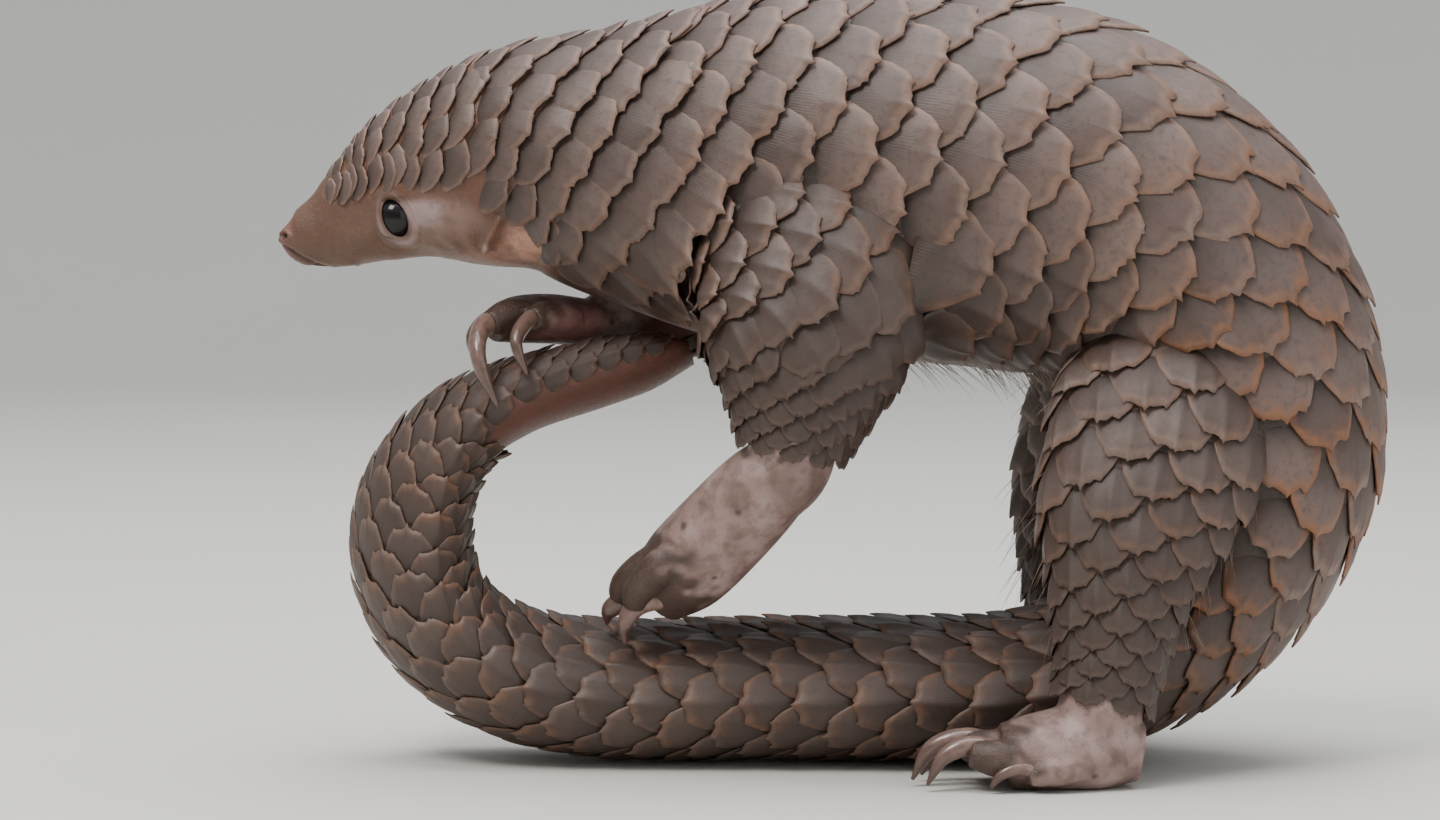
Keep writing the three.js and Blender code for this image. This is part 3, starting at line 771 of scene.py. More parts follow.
def body_skin():
    """The body with its face, its rings close together on the head and wider apart behind."""
    neck = BODY.distance(HEAD_END)
    head = np.linspace(0, neck, HEAD_RINGS)
    rest = np.linspace(neck, BODY.length, REST_RINGS)[1:]

    def change(points, normals, s):
        # a little deeper where scales cover it
        moved = points - normals * (0.1 * smooth(BODY.distance(5), neck, s))[:, None]
        moved[:, 2] = np.maximum(moved[:, 2], SKIN_CLEAR)
        return moved

    skin = loft(BODY, "skin", np.concatenate([head, rest]), SKIN_SIDES, change)
    finer_face(skin)
    points, normals = own_points(skin), own_normals(skin)
    front = (points[:, 0] < -48) & (points[:, 2] > 80)
    points[front] = sculpt_head(points[front], normals[front])
    set_points(skin, points)
    return skin


def limb_skin(form, name):
    """A limb whose end narrows inside the foot."""

    def change(points, normals, s):
        return points - normals * (2.2 * smooth(0.86, 1.0, s / form.length))[:, None]

    return loft(form, name, np.linspace(0, form.length, LIMB_RINGS), LIMB_SIDES, change)


def tube(name, rows, sides=24):
    """A rounded tube through rows of a place and a radius."""
    form = Form([(*row[:3], row[3], row[3]) for row in rows], TOE_UPWARD)
    return loft(form, name, np.linspace(0, form.length, 6 * len(rows)), sides)


def ankle(name, leg, foot):
    """Skin from inside the leg's end into the foot."""
    rows = []
    for share, size in ANKLE:
        s = leg.length * share
        radius = size * (leg.at(leg.depth, s) + leg.at(leg.width, s)) / 2
        rows.append((*leg.at(leg.centre, s), float(radius)))
    s = foot.length * 0.3
    rows.append((*foot.at(foot.centre, s), float(foot.at(foot.width, s)) * 0.9))
    return tube(name, rows)


def toed_foot(name, form, leg, toes, stop):
    """A foot fused from its form, its ankle and its toes, then smoothed."""
    pieces = [loft(form, name, np.linspace(0, form.length * stop, FOOT_RINGS), FOOT_SIDES)]
    pieces.append(ankle(name + "_ankle", leg, form))
    pieces += [tube(name + "_toe", rows, TOE_SIDES) for rows in toes]
    foot = joined(pieces, name)
    applied(foot, "REMESH", mode="VOXEL", voxel_size=FOOT_VOXEL * MM)
    applied(foot, "SMOOTH", factor=0.5, iterations=5)
    points = own_points(foot)
    points[:, 2] = np.maximum(points[:, 2], FOOT_CLEAR)
    set_points(foot, points)
    foot.data.shade_smooth()
    return foot


def foot_colours(points, dark_from, dark_to, palm, seed):
    """Mottled skin with dark spots, dark brown towards the toes, pinker on the palm."""
    start, end = np.array(dark_from, float), np.array(dark_to, float)
    axis = end - start
    t = (points - start) @ axis / (axis @ axis)
    colours = np.tile(np.array(PAW), (len(points), 1))
    cloud = waves(points, 0.75, seed)
    grain = waves(points, 2.4, seed + 3)
    colours = mixed(colours, PAW_DARK, 0.42 * smooth(0.0, 0.9, cloud))
    colours = mixed(colours, PAW_DARK, 0.3 * smooth(0.3, 1.0, grain))
    colours = mixed(colours, PAW_PALE, 0.5 * smooth(0.1, 0.9, -cloud))
    ragged = t + 0.12 * waves(points, 1.3, seed + 1) + 0.05 * grain
    colours = mixed(colours, PAW_DARK, smooth(0.36, 0.62, ragged) * 0.96)
    random = np.random.default_rng(seed)
    for place in points[random.choice(len(points), 26)]:
        size = random.uniform(0.5, 1.1)
        colours = mixed(colours, PAW_DARK, 0.8 * spot(points, place, (size, size, size)))
    if palm is not None:
        colours = mixed(colours, PALM, spot(points, *palm))
    return colours


# Each foot: its form, its leg, the share of its form that is kept, its toes, its claws, its small
# outer claws, and its colouring: the two ends of the line that it darkens along, the palm's place
# and size, and a seed.
FEET = {
    "forefoot_left": (
        Form(FOREFOOT_LEFT, LEFT), "foreleg_left", 1.0, TOES_LEFT, CLAWS_LEFT, [],
        ((-16, -22, 44), (-35, -12, 29), None, 5),
    ),
    "forefoot_right": (
        Form(FOREFOOT_RIGHT, RIGHT), "forearm_right", 1.0, TOES_RIGHT, CLAWS_RIGHT, [],
        ((-40, 10, 78), (-64, -6, 75), ((-48, 2, 76), (10, 9, 7)), 6),
    ),
    "hind_foot_left": (
        Form(mirrored(HIND_FOOT), LEFT), "hind_leg_left", 0.8,
        [mirrored(rows) for rows in TOES_HIND], mirrored_claws(CLAWS_HIND),
        mirrored_claws(CLAWS_SMALL), ((46, -33, 9), (14, -33, 4), None, 7),
    ),
    "hind_foot_right": (
        Form(HIND_FOOT, RIGHT), "hind_leg_right", 0.8, TOES_HIND, CLAWS_HIND, CLAWS_SMALL,
        ((46, 33, 9), (14, 33, 4), None, 8),
    ),
}


# Scales

# One scale from above: places from its middle to its side, and where its rear edge lies at each,
# with three cusps or with a smooth tip
HALF = [0, 0.05, 0.12, 0.22, 0.34, 0.45, 0.52, 0.57, 0.65, 0.78, 0.9, 1]
HALF_CUSPED = [1.38, 1.28, 1.2, 1.15, 1.11, 1.1, 1.12, 1.05, 0.93, 0.7, 0.42, 0.0]
HALF_ROUND = [1.34, 1.31, 1.26, 1.19, 1.1, 1.0, 0.92, 0.86, 0.74, 0.5, 0.25, 0.0]
ACROSS = np.array([-a for a in HALF[:0:-1]] + HALF)
CUSPED = np.array(HALF_CUSPED[:0:-1] + HALF_CUSPED)
ROUND = np.array(HALF_ROUND[:0:-1] + HALF_ROUND)
TIP = 1.38
ROOT = -1.25
STEPS_ALONG = np.array([0, 0.3, 0.55, 0.75, 0.9, 1.0])

# Tables of a row of the body and a value there. How far tips turn down, in radians
LEAN = [(1, 0.5), (5.5, 0.56), (7.5, 0.38), (10, 0.2), (13, 0.0)]
# How far round the scales reach
REACH = [(1.2, 0.84), (8, 0.84), (10, 0.86), (16, 0.86), (17.6, 1.2)]
# A scale's step along the trunk, as a share of its step across
LENGTHS = [
    (0, 0.42), (5.4, 0.42), (5.6, 0.5), (7.4, 0.6), (9, 0.62), (11, 0.6), (13, 0.68), (15, 0.78),
    (19, 0.8),
]
# How far tips stand off the skin
RISE = [
    (2, 0.5), (3, 0.75), (5, 1.1), (6, 1.5), (8, 2.0), (16, 2.1), (20, 1.7), (28, 1.35), (31.4, 0.7),
]
# Fewer scales go round head and neck: where each zone ends and its rows, as a share of the trunk's
ZONES = [(5.2, 0.82), (7.5, 0.91), (19.2, 1.0)]
TRUNK_START, TAIL_START, TAIL_END = 1.6, 19.0, 31.5
PAD_ROW, PAD_SHARE = 28.4, 0.62  # past this row the tail's belly is bare beyond this share
# The edge of the naked face in the side view, from forehead to throat
FACE_EDGE = [
    (-89.0, 120.0), (-88.4, 98.6), (-83.4, 97.8), (-81.0, 99.4), (-64.0, 99.6), (-60.4, 96.4),
    (-56.6, 94.0), (-51.4, 88.6), (-47.6, 85.2), (-43.0, 82.6), (-41.0, -10.0),
]
FACE_MARGIN = 2.8  # on the head, scales so near to that edge are moved to it
# Where a leg lifts the trunk's surface by more than this, its own scales take over
COVER_FRONT, COVER_REAR = 4.6, 4.0
# Beside a leg, where the lift changes more than the first under one scale, scales lie flat on the
# trunk, up to the lift of the second
STEEPEST, DEEPEST = 2.2, 3.2

# Limbs: rows of scales all round, the shares of the length where they start and end, how far
# round they reach, and how far their tips turn to the rear at the top, in radians
LIMB_SCALES = {
    "foreleg_left": (14, 0.12, 0.93, 0.78, 0.95),
    "foreleg_right": (14, 0.12, 0.93, 0.78, 0.95),
    "forearm_right": (12, 0.1, 0.9, 0.72, 0.0),
    "hind_leg_left": (14, 0.1, 0.93, 0.74, 0.2),
    "hind_leg_right": (14, 0.1, 0.93, 0.74, 0.2),
}
FORELEG_FINER = (0.62, 6)  # from this share of a foreleg on it has so many more rows
JOINED = {"foreleg_right": "forearm_right", "forearm_right": "foreleg_right"}


def scale_template():
    """Where one scale's vertices lie along and across it, its place values, and its faces."""
    v, u = np.meshgrid(STEPS_ALONG, ACROSS, indexing="ij")
    cusped = ROOT + (CUSPED[None] - ROOT) * v
    plain = ROOT + (ROUND[None] - ROOT) * v
    n, m = u.shape
    narrow = 0.78 + 0.22 * smooth(0.0, 0.45, v)
    rim = np.minimum((1 - v) * 2.6, (1 - np.abs(u)) * 1.6)
    # the top's faces, the underside's, and the edge between them
    faces = []
    size = n * m
    for i in range(n - 1):
        for j in range(m - 1):
            a, b = i * m + j, (i + 1) * m + j
            faces.append((a, a + 1, b + 1, b))
            faces.append((size + a, size + b, size + b + 1, size + a + 1))
    border = list(range(m)) + [i * m + m - 1 for i in range(1, n)]
    border += [(n - 1) * m + j for j in range(m - 2, -1, -1)]
    border += [i * m for i in range(n - 2, 0, -1)]
    for a, b in zip(border, border[1:] + border[:1]):
        faces.append((b, a, size + a, size + b))
    flat = [x.ravel() for x in (cusped, plain, u * narrow, u, v)]
    return (*flat, np.clip(rim.ravel(), 0, 1), faces)


TEMPLATE = scale_template()


def lattice(form, start, end, rows, ratio, shortest=1.4):
    """Places of staggered scales: distance, share round, step along and step across."""
    places = []
    s, i = start, 0
    while s < end:
        across = float(form.at(form.girth, s)) / rows
        share = ratio(s) if callable(ratio) else ratio
        step = max(share * across, shortest)
        for j in range(i % 2, rows, 2):
            places.append((s, 2 * j / rows - 1, step, across))
        s += step
        i += 1
    return np.array(places)


class LegLift:
    """How far the upper legs lift the trunk's surface, by distance and share."""

    LIMBS = ("foreleg_left", "foreleg_right", "hind_leg_left", "hind_leg_right")
    CELLS = 120  # of the grid, along the trunk and round it
    HIGHEST, STEP = 13, 0.5
    SPREAD, SMOOTHED = 2, 9  # how often the raised part is widened and the whole is smoothed

    # Places under one scale: shares of its step along and of its width
    BELLY_SHADE = [(-0.6, 0), (0, -0.9), (0, 0.9), (0, 0), (0.7, -0.8), (0.7, 0.8), (1.3, 0)]

    def __init__(self):
        self.start, self.end = BODY.distance(5.0), BODY.distance(19.6)
        along = np.linspace(self.start, self.end, self.CELLS + 1)
        s, q = np.meshgrid(along, np.linspace(-1, 1, self.CELLS + 1), indexing="ij")
        point, normal = BODY.parts(s, q)
        lift = np.zeros(s.shape)
        for height in np.arange(self.STEP, self.HIGHEST, self.STEP):
            place = point + normal * height
            held = np.zeros(s.shape, bool)
            for name in self.LIMBS:
                held |= FORMS[name].inside(place)
            lift = np.where(held & (lift >= height - 1.5 * self.STEP), height, lift)
        for k in range(self.SMOOTHED):
            if k < self.SPREAD:
                wide = np.maximum(lift, np.roll(lift, 1, 1))
                wide = np.maximum(wide, np.roll(lift, -1, 1))
                wide[1:] = np.maximum(wide[1:], lift[:-1])
                wide[:-1] = np.maximum(wide[:-1], lift[1:])
                lift = wide
            lift[1:-1] = (lift[:-2] + 2 * lift[1:-1] + lift[2:]) / 4
            ring = lift[:, :-1]
            ring = (np.roll(ring, 1, 1) + 2 * ring + np.roll(ring, -1, 1)) / 4
            lift = np.concatenate([ring, ring[:, :1]], axis=1)
        self.lift = lift

    def at(self, s, q):
        """The lift at any place of the body, 0 off the trunk."""
        last = self.CELLS - 0.001
        q = (np.asarray(q) + 1) % 2 - 1
        f = np.clip((s - self.start) / (self.end - self.start) * self.CELLS, 0, last)
        g = np.clip((q + 1) * (self.CELLS / 2), 0, last)
        i, j = f.astype(int), g.astype(int)
        v, w = f - i, g - j
        near = self.lift[i, j] * (1 - w) + self.lift[i, j + 1] * w
        far = self.lift[i + 1, j] * (1 - w) + self.lift[i + 1, j + 1] * w
        outside = (s < self.start) | (s > self.end)
        return np.where(outside, 0.0, near * (1 - v) + far * v)

    def spread(self, places):
        """The difference between the highest and the lowest lift under each scale."""
        s, q, step, width = places[:, :4].T
        girth = BODY.at(BODY.girth, s)
        under = [self.at(s + a * step, q + b * width * 2 / girth) for a, b in self.BELLY_SHADE]
        return np.max(under, axis=0) - np.min(under, axis=0)


def scale_map(s0, q0, step, width, girth, length, reach, u):
    """Each scale's patch of the unwrap, at its root's place on the form's own unwrap."""
    middle_u = 0.02 + 0.96 * s0 / length
    middle_v = 0.02 + 0.96 * ((q0 + 1) % 2) / 2
    wide = 0.40 * step / length
    tall = 0.42 * 2 * width / girth
    flat_u = middle_u[:, None] + wide[:, None] * (2 * reach - 1)
    top_v = middle_v[:, None] + tall[:, None] * (u[None] * 0.84 - 0.14)
    under_v = middle_v[:, None] + tall[:, None] * (0.90 + 0.08 * u[None])
    pairs = [np.concatenate([flat_u, flat_u], 1), np.concatenate([top_v, under_v], 1)]
    return np.stack(pairs, axis=-1).reshape(-1, 2)


def scales(name, form, places, rise, keel, seed, rust, painted_shade, lift=None, cusp=None, turned=None):
    """One mesh of all the scales at these places.

    rise in millimetres and keel are given for each scale. rust, painted_shade and turned are functions of
    the distance and the share round, cusp is one of the distance, and lift raises scales off the
    form over the legs. painted_shade is how far a scale is darkened as painted shade.
    """
    cusped, plain, across, u, v, rim, faces = TEMPLATE
    random = np.random.default_rng(seed)
    n, k = len(places), len(u)
    s0, q0, step, width = places[:, :4].T
    girth = form.at(form.girth, s0)
    turn = random.normal(0, 0.035, n)
    stretch = 1 + random.normal(0, 0.035, n)
    raised = (rise * (1 + random.normal(0, 0.1, n)))[:, None]
    sharp = np.ones(n) if cusp is None else cusp(s0)
    along = plain[None] + (cusped - plain)[None] * sharp[:, None]
    # wear leaves the rear edge a little uneven
    worn = random.normal(0, 0.034, (n, len(ACROSS)))
    along = along + np.tile(worn, (1, len(STEPS_ALONG))) * v[None] ** 3
    if turned is not None:
        turn = turn + turned(s0, q0)
    cosine, sine = np.cos(turn)[:, None], np.sin(turn)[:, None]
    length = along * step[:, None] * stretch[:, None]
    breadth = across[None] * width[:, None] * 0.97
    a = length * cosine - sine * breadth
    b = breadth * cosine + sine * length
    s = np.clip(s0[:, None] + a, 0.02, form.length - 0.02)
    q = q0[:, None] + b * 2 / girth[:, None]
    # the root is sunk under the scales before it, and the tip stands off
    sunk = 0.55 * raised
    reach = np.clip((along - ROOT) / (TIP - ROOT), 0, 1)
    thick = raised * (0.22 + 0.42 * rim[None]) * (1 - 0.35 * reach)
    crown = 0.10 * width[:, None] * (1 - u[None] ** 2) * np.sin(np.pi * np.clip(v, 0, 1)) ** 0.8
    top = -sunk + (raised + sunk) * reach**1.15 + crown
    top = top + ridge(u[None], 0, 0.16) * smooth(0.1, 0.7, v)[None] * 0.09 * width[:, None] * keel[:, None]
    top = top - 0.12 * raised * (1 - rim[None]) ** 2
    top = top + random.normal(0, 0.09, (n, 1)) * u[None] * raised
    if lift is not None:
        root = lift.at(s0, q0)[:, None]
        top = top + places[:, 4:] * np.maximum(lift.at(s, q), root - 0.12 * np.maximum(a, 0))
    points = np.concatenate([form.point(s, q, top), form.point(s, q, top - thick)], axis=1)
    points[..., 2] = np.maximum(points[..., 2], SCALE_CLEAR)
    obj = mesh_object(name, points, repeated(faces, n, 2 * k))
    numbers = {
        "Place": v,
        "Rim": rim,
        "Tone": random.random(n)[:, None],
        "Rust": rust(s0, q0)[:, None],
        "Side": u,
        "PaintedShade": painted_shade(s0, q0)[:, None],
    }
    for key, number in numbers.items():
        one_side = np.broadcast_to(number, (n, k))
        set_values(obj, key, np.concatenate([one_side, one_side], axis=-1).ravel())
    set_map(obj, scale_map(s0, q0, step, width, girth, form.length, reach, u))
    return obj


def table(rows, s):
    """A value between the rows of one of the tables above, along the body."""
    stations = BODY.distance(np.array([row for row, _ in rows]))
    return np.interp(s, stations, [value for _, value in rows])


def lean(s, q):
    """How far a scale's tip turns down from the middle line, in radians."""
    return table(LEAN, s) * np.sign(q) * smooth(0.02, 0.3, np.abs(q))


def lower_corner(places):
    """Where the lower side of each scale lies in the side view."""
    s, q, step, width = places.T
    girth = BODY.at(BODY.girth, s)
    turn = np.abs(lean(s, q))
    a, b = 0.35 * step, 0.8 * width
    far = s + a * np.cos(turn) - b * np.sin(turn)
    round_it = q + np.sign(q) * (b * np.cos(turn) + a * np.sin(turn)) * 2 / girth
    return BODY.point(np.maximum(far, 0.1), round_it)


def kept_trunk(places, lift):
    """The places on the trunk that get a scale, with 1 beside those that a leg may lift.

    Scales on the face and under the legs' own are left out, and the lowest ones on the head
    are moved to the face's edge.
    """
    places = places.copy()
    edge_x, edge_z = np.array(FACE_EDGE).T
    corner = lower_corner(places)
    over = corner[:, 2] - np.interp(corner[:, 0], edge_x, edge_z)
    on_head = (BODY.row(places[:, 0]) < 8) & (np.abs(places[:, 1]) > 0.12)
    slide = np.where(on_head & (np.abs(over) < FACE_MARGIN), over, 0)
    girth = BODY.at(BODY.girth, places[:, 0])
    places[:, 1] += np.sign(places[:, 1]) * 0.85 * slide * 2 / girth
    s, q = places[:, 0], places[:, 1]
    row = BODY.row(s)
    keep = np.abs(q) <= table(REACH, s)
    keep &= (over > -FACE_MARGIN) & (corner[:, 0] > edge_x[0])
    raised = lift.at(s, q)
    keep &= raised < np.where(row < 12, COVER_FRONT, COVER_REAR)
    steep = (lift.spread(places) > STEEPEST) & (row > 7.8)
    keep &= ~(steep & (raised > DEEPEST))
    return np.column_stack([places, ~steep])[keep]


def body_rust(s, q):
    """Rust grows over the trunk's rear and down its sides."""
    rear = smooth(10.5, 15, BODY.row(s))
    tail = smooth(17, 20, BODY.row(s))
    return np.clip(0.2 + 0.65 * rear + 0.2 * np.abs(q) - 0.5 * tail, 0, 1)


def body_painted_shade(s, q):
    """Painted shade: darker and browner on the belly's edge, under the rump, on the tail and on head and
    neck.
    """
    row = BODY.row(s)
    low = smooth(0.5, 0.85, np.abs(q)) * smooth(5, 8, row)
    tail = 0.8 * smooth(16, 20, row)
    neck = 0.28 * (1 - smooth(6, 10, row))
    return np.clip(0.75 * low + tail + neck, 0, 1)


def cusps(s):
    """Smooth tips on the head, three cusps behind it."""
    return smooth(5.0, 7.6, BODY.row(s))


def trunk_ratio(s):
    """A scale's step along the trunk for its step across."""
    return table(LENGTHS, s)


def body_bands(places, bands, share, keel_from, keel_to, seed, **rest):
    """The body's scales in pieces, each from one row of the table to another."""
    row = BODY.row(places[:, 0])
    made = []
    for k, (name, first, last) in enumerate(bands):
        part = places[(row >= first) & (row < last)]
        keel = smooth(keel_from, keel_to, np.abs(part[:, 1]))
        rise = table(RISE, part[:, 0]) * share
        made.append(
            scales(f"scales_{name}", BODY, part, rise, keel, seed + k, body_rust, body_painted_shade, **rest)
        )
    return made


def trunk_scales():
    """Head, neck, trunk and the root of the tail, in a front and a rear piece."""
    lift = LegLift()
    zones, start = [], BODY.distance(TRUNK_START)
    for end, share in ZONES:
        rows = int(round(sizes().trunk_rows * share / 2)) * 2
        zones.append(lattice(BODY, start, BODY.distance(end), rows, trunk_ratio))
        last = zones[-1][-1]
        start = last[0] + 0.5 * last[2]
    places = kept_trunk(np.vstack(zones), lift)
    bands = [("front", 0, 9.2), ("rear", 9.2, 40)]
    return body_bands(places, bands, 1.0, 0.5, 0.7, 3, lift=lift, cusp=cusps, turned=lean)


def tail_scales():
    """The tail past its root, in a lower and an upper piece, without its bare pad."""
    start, end = BODY.distance(TAIL_START), BODY.distance(TAIL_END)
    places = lattice(BODY, start, end, sizes().tail_rows, 0.8)
    pad = (BODY.row(places[:, 0]) > PAD_ROW) & (np.abs(places[:, 1]) > PAD_SHARE)
    bands = [("tail_lower", 0, 25), ("tail_upper", 25, 40)]
    return body_bands(places[~pad], bands, 0.9, 0.35, 0.5, 13)


def limb_scales(name, seed):
    """The outer side of one limb, in finer rows low on a foreleg."""
    form = FORMS[name]
    rows, start, end, reach, most = LIMB_SCALES[name]
    first, far = form.length * start, form.length * end
    if name.startswith("foreleg"):
        finer_from, more = FORELEG_FINER
        upper = lattice(form, first, form.length * finer_from, rows, 0.62)
        last = upper[-1]
        finer = lattice(form, last[0] + 0.8 * last[2], far, rows + more, 0.66)
        places = np.vstack([upper, finer])
    else:
        places = lattice(form, first, far, rows, 0.68)
    # none on the inner side, nor within the trunk or the limb's other part
    keep = np.abs(places[:, 1]) <= reach
    points = form.point(places[:, 0], places[:, 1])
    others = [BODY]
    if name in JOINED:
        others.append(FORMS[JOINED[name]])
    for other in others:
        keep &= ~other.inside(points, -0.5)
    places = places[keep]
    rise = 1.7 - 0.7 * smooth(0.5, 0.95, places[:, 0] / form.length)
    keel = np.full(len(places), 0.8)
    rearward = 1 if name.endswith("right") else -1

    def rust(s, q):
        return 0.4 - 0.35 * smooth(0.4, 0.8, s / form.length)

    # painted shade, deeper towards the foot
    def painted_shade(s, q):
        return 0.45 + 0.55 * smooth(0.3, 0.65, s / form.length)

    def turned(s, q):
        return rearward * most * (1 - 0.8 * smooth(0.4, 0.9, s / form.length))

    return scales(f"scales_{name}", form, places, rise, keel, seed, rust, painted_shade, turned=turned)


# Hairs: the form, the rows and the shares round that they grow between, and what the count is
# divided by
HAIR_BEDS = [
    (BODY, 8.5, 17.5, 0.84, 1.0, 1),
    (FORMS["hind_leg_left"], 0.6, 3.6, 0.45, 0.95, 3),
    (FORMS["hind_leg_right"], 0.6, 3.6, 0.45, 0.95, 3),
]
HAIR_RINGS, HAIR_SIDES = 5, 4
HAIR_LENGTHS, HAIR_RADIUS = (4.0, 9.0), 0.075
HAIR_DROOP, HAIR_SUNK = 1.6, 0.4
HAIR_LOWEST = 27  # no hair starts below this height


def hairs(count, seed):
    """Sparse hairs on the naked belly and on the hind legs."""
    random = np.random.default_rng(seed)
    roots, ways, marks = [], [], []
    for form, first, last, near, far, part in HAIR_BEDS:
        number = count // part
        s = form.distance(random.uniform(first, last, number))
        q = random.uniform(near, far, number) * random.choice([-1, 1], number)
        point, normal = form.parts(s, q)
        way = unit(form.at(form.along, s) + 0.45 * normal + random.normal(0, 0.22, point.shape))
        roots.append(point - HAIR_SUNK * normal)
        ways.append(way)
        marks.append(np.column_stack([s / form.length, ((q + 1) % 2) / 2]))
    root, way, mark = np.vstack(roots), np.vstack(ways), np.vstack(marks)
    free = root[:, 2] > HAIR_LOWEST
    root, way, mark = root[free], way[free], mark[free]
    n, rings, sides = len(root), HAIR_RINGS, HAIR_SIDES
    length = random.uniform(*HAIR_LENGTHS, (n, 1))
    side = unit(np.cross(way, (0.3, 0.9, 0.2)))
    points = np.empty((n, rings, sides, 3))
    for i in range(rings):
        share = i / (rings - 1)
        centre = root + way * length * share + np.array([0, 0, -HAIR_DROOP]) * share**2
        for k in range(sides):
            angle = k / sides * 2 * math.pi
            out = side * math.cos(angle) + np.cross(way, side) * math.sin(angle)
            points[:, i, k] = centre + out * (HAIR_RADIUS * (1 - 0.8 * share))
    faces = []
    for i in range(rings - 1):
        for k in range(sides):
            m = (k + 1) % sides
            faces.append((i * sides + k, i * sides + m, (i + 1) * sides + m, (i + 1) * sides + k))
    faces += [tuple(range(sides))[::-1], tuple((rings - 1) * sides + k for k in range(sides))]
    obj = outward(mesh_object("hairs", points, repeated(faces, n, rings * sides)))
    along, across = np.meshgrid(np.linspace(0, 1, rings), np.linspace(0, 1, sides), indexing="ij")
    flat = np.column_stack([along.ravel(), across.ravel()]) * 0.003
    set_map(obj, (0.02 + 0.95 * mark[:, None] + flat[None]).reshape(-1, 2))
    return obj


# Claws and eyes


def claw(name, points, half):
    """One claw, bent through four points."""
    radii = [half * 1.05, half * 1.05, half * 0.82, 0.3]
    form = Form([(*p, r, r * 0.88) for p, r in zip(points, radii)], CLAW_UPWARD)
    made = loft(form, name, np.linspace(0, form.length, CLAW_RINGS), CLAW_SIDES)
    place = np.repeat(np.linspace(0, 1, CLAW_RINGS), CLAW_SIDES)
    set_values(made, "Place", np.concatenate([place, [0, 1]])[: len(made.data.vertices)])
    points = own_points(made)
    points[:, 2] = np.maximum(points[:, 2], FOOT_CLEAR)
    set_points(made, points)
    return made


def eyeball(name, place):
    """The ball of one eye, with its poles to the animal's left and right."""
    bpy.ops.mesh.primitive_uv_sphere_add(
        segments=64, ring_count=32, radius=EYE_RADIUS * MM, location=place, rotation=(math.pi / 2, 0, 0)
    )
    eye = bpy.context.object
    eye.name = name
    bpy.ops.object.transform_apply(location=True, rotation=True, scale=True)
    bpy.ops.object.shade_smooth()
    return eye


# Materials

SKIN_BLOTCH, SKIN_FLECK = (0.085, 0.045, 0.032), (0.40, 0.29, 0.24)
CLAW_STREAK = (0.05, 0.03, 0.022)


class Finish:
    """A material and the nodes that it is built from. Patterns follow the piece's own place."""

    def __init__(self, name, roughness, **sockets):
        self.material = bpy.data.materials.new(name)
        self.material.use_nodes = True
        self.tree = self.material.node_tree
        self.inputs = self.tree.nodes["Principled BSDF"].inputs
        self.inputs["Roughness"].default_value = roughness
        for key, value in sockets.items():
            self.inputs[key.replace("_", " ")].default_value = value
        self.place = self.node("ShaderNodeTexCoord").outputs["Object"]

    def give(self, value, socket):
        """Links another node's output to a socket, or sets the socket to a value."""
        if isinstance(value, bpy.types.NodeSocket):
            self.tree.links.new(value, socket)
        elif socket.type == "RGBA":
            socket.default_value = (*value, 1)
        else:
            socket.default_value = value

    def node(self, kind, inputs=None, **settings):
        """Adds a node with its settings, then fills its inputs."""
        made = self.tree.nodes.new(kind)
        for key, value in settings.items():
            setattr(made, key, value)
        for key, value in (inputs or {}).items():
            self.give(value, made.inputs[key])
        return made

    def noise(self, scale, detail, roughness=0.55):
        """Cloudy values by place."""
        inputs = {"Vector": self.place, "Scale": scale, "Detail": detail, "Roughness": roughness}
        return self.node("ShaderNodeTexNoise", inputs).outputs["Fac"]

    def attribute(self, name, output="Fac"):
        """What the piece's vertices say of themselves."""
        return self.node("ShaderNodeAttribute", attribute_name=name).outputs[output]

    def maths(self, kind, a, b):
        return self.node("ShaderNodeMath", {0: a, 1: b}, operation=kind).outputs["Value"]

    def times(self, a, b):
        return self.maths("MULTIPLY", a, b)

    def ramp(self, value, low_at, high_at, low=0.0, high=1.0):
        """A soft step from one value to another."""
        inputs = {"Value": value, "From Min": low_at, "From Max": high_at, "To Min": low, "To Max": high}
        made = self.node("ShaderNodeMapRange", inputs, interpolation_type="SMOOTHSTEP")
        return made.outputs["Result"]

    def blend(self, share, first, second):
        """From the first colour to the second by a share."""
        made = self.node("ShaderNodeMix", {"Factor": share}, data_type="RGBA")
        colours = {socket.name: socket for socket in made.inputs if socket.type == "RGBA"}
        self.give(first, colours["A"])
        self.give(second, colours["B"])
        return [socket for socket in made.outputs if socket.type == "RGBA"][0]

    def bump(self, height, strength, distance):
        inputs = {"Height": height, "Strength": strength, "Distance": distance}
        self.give(self.node("ShaderNodeBump", inputs).outputs["Normal"], self.inputs["Normal"])

    def surfaced(self, colour, roughness=None):
        """The material, once it has its colour and, where that varies, its roughness."""
        self.give(colour, self.inputs["Base Color"])
        if roughness is not None:
            self.give(roughness, self.inputs["Roughness"])
        return self.material


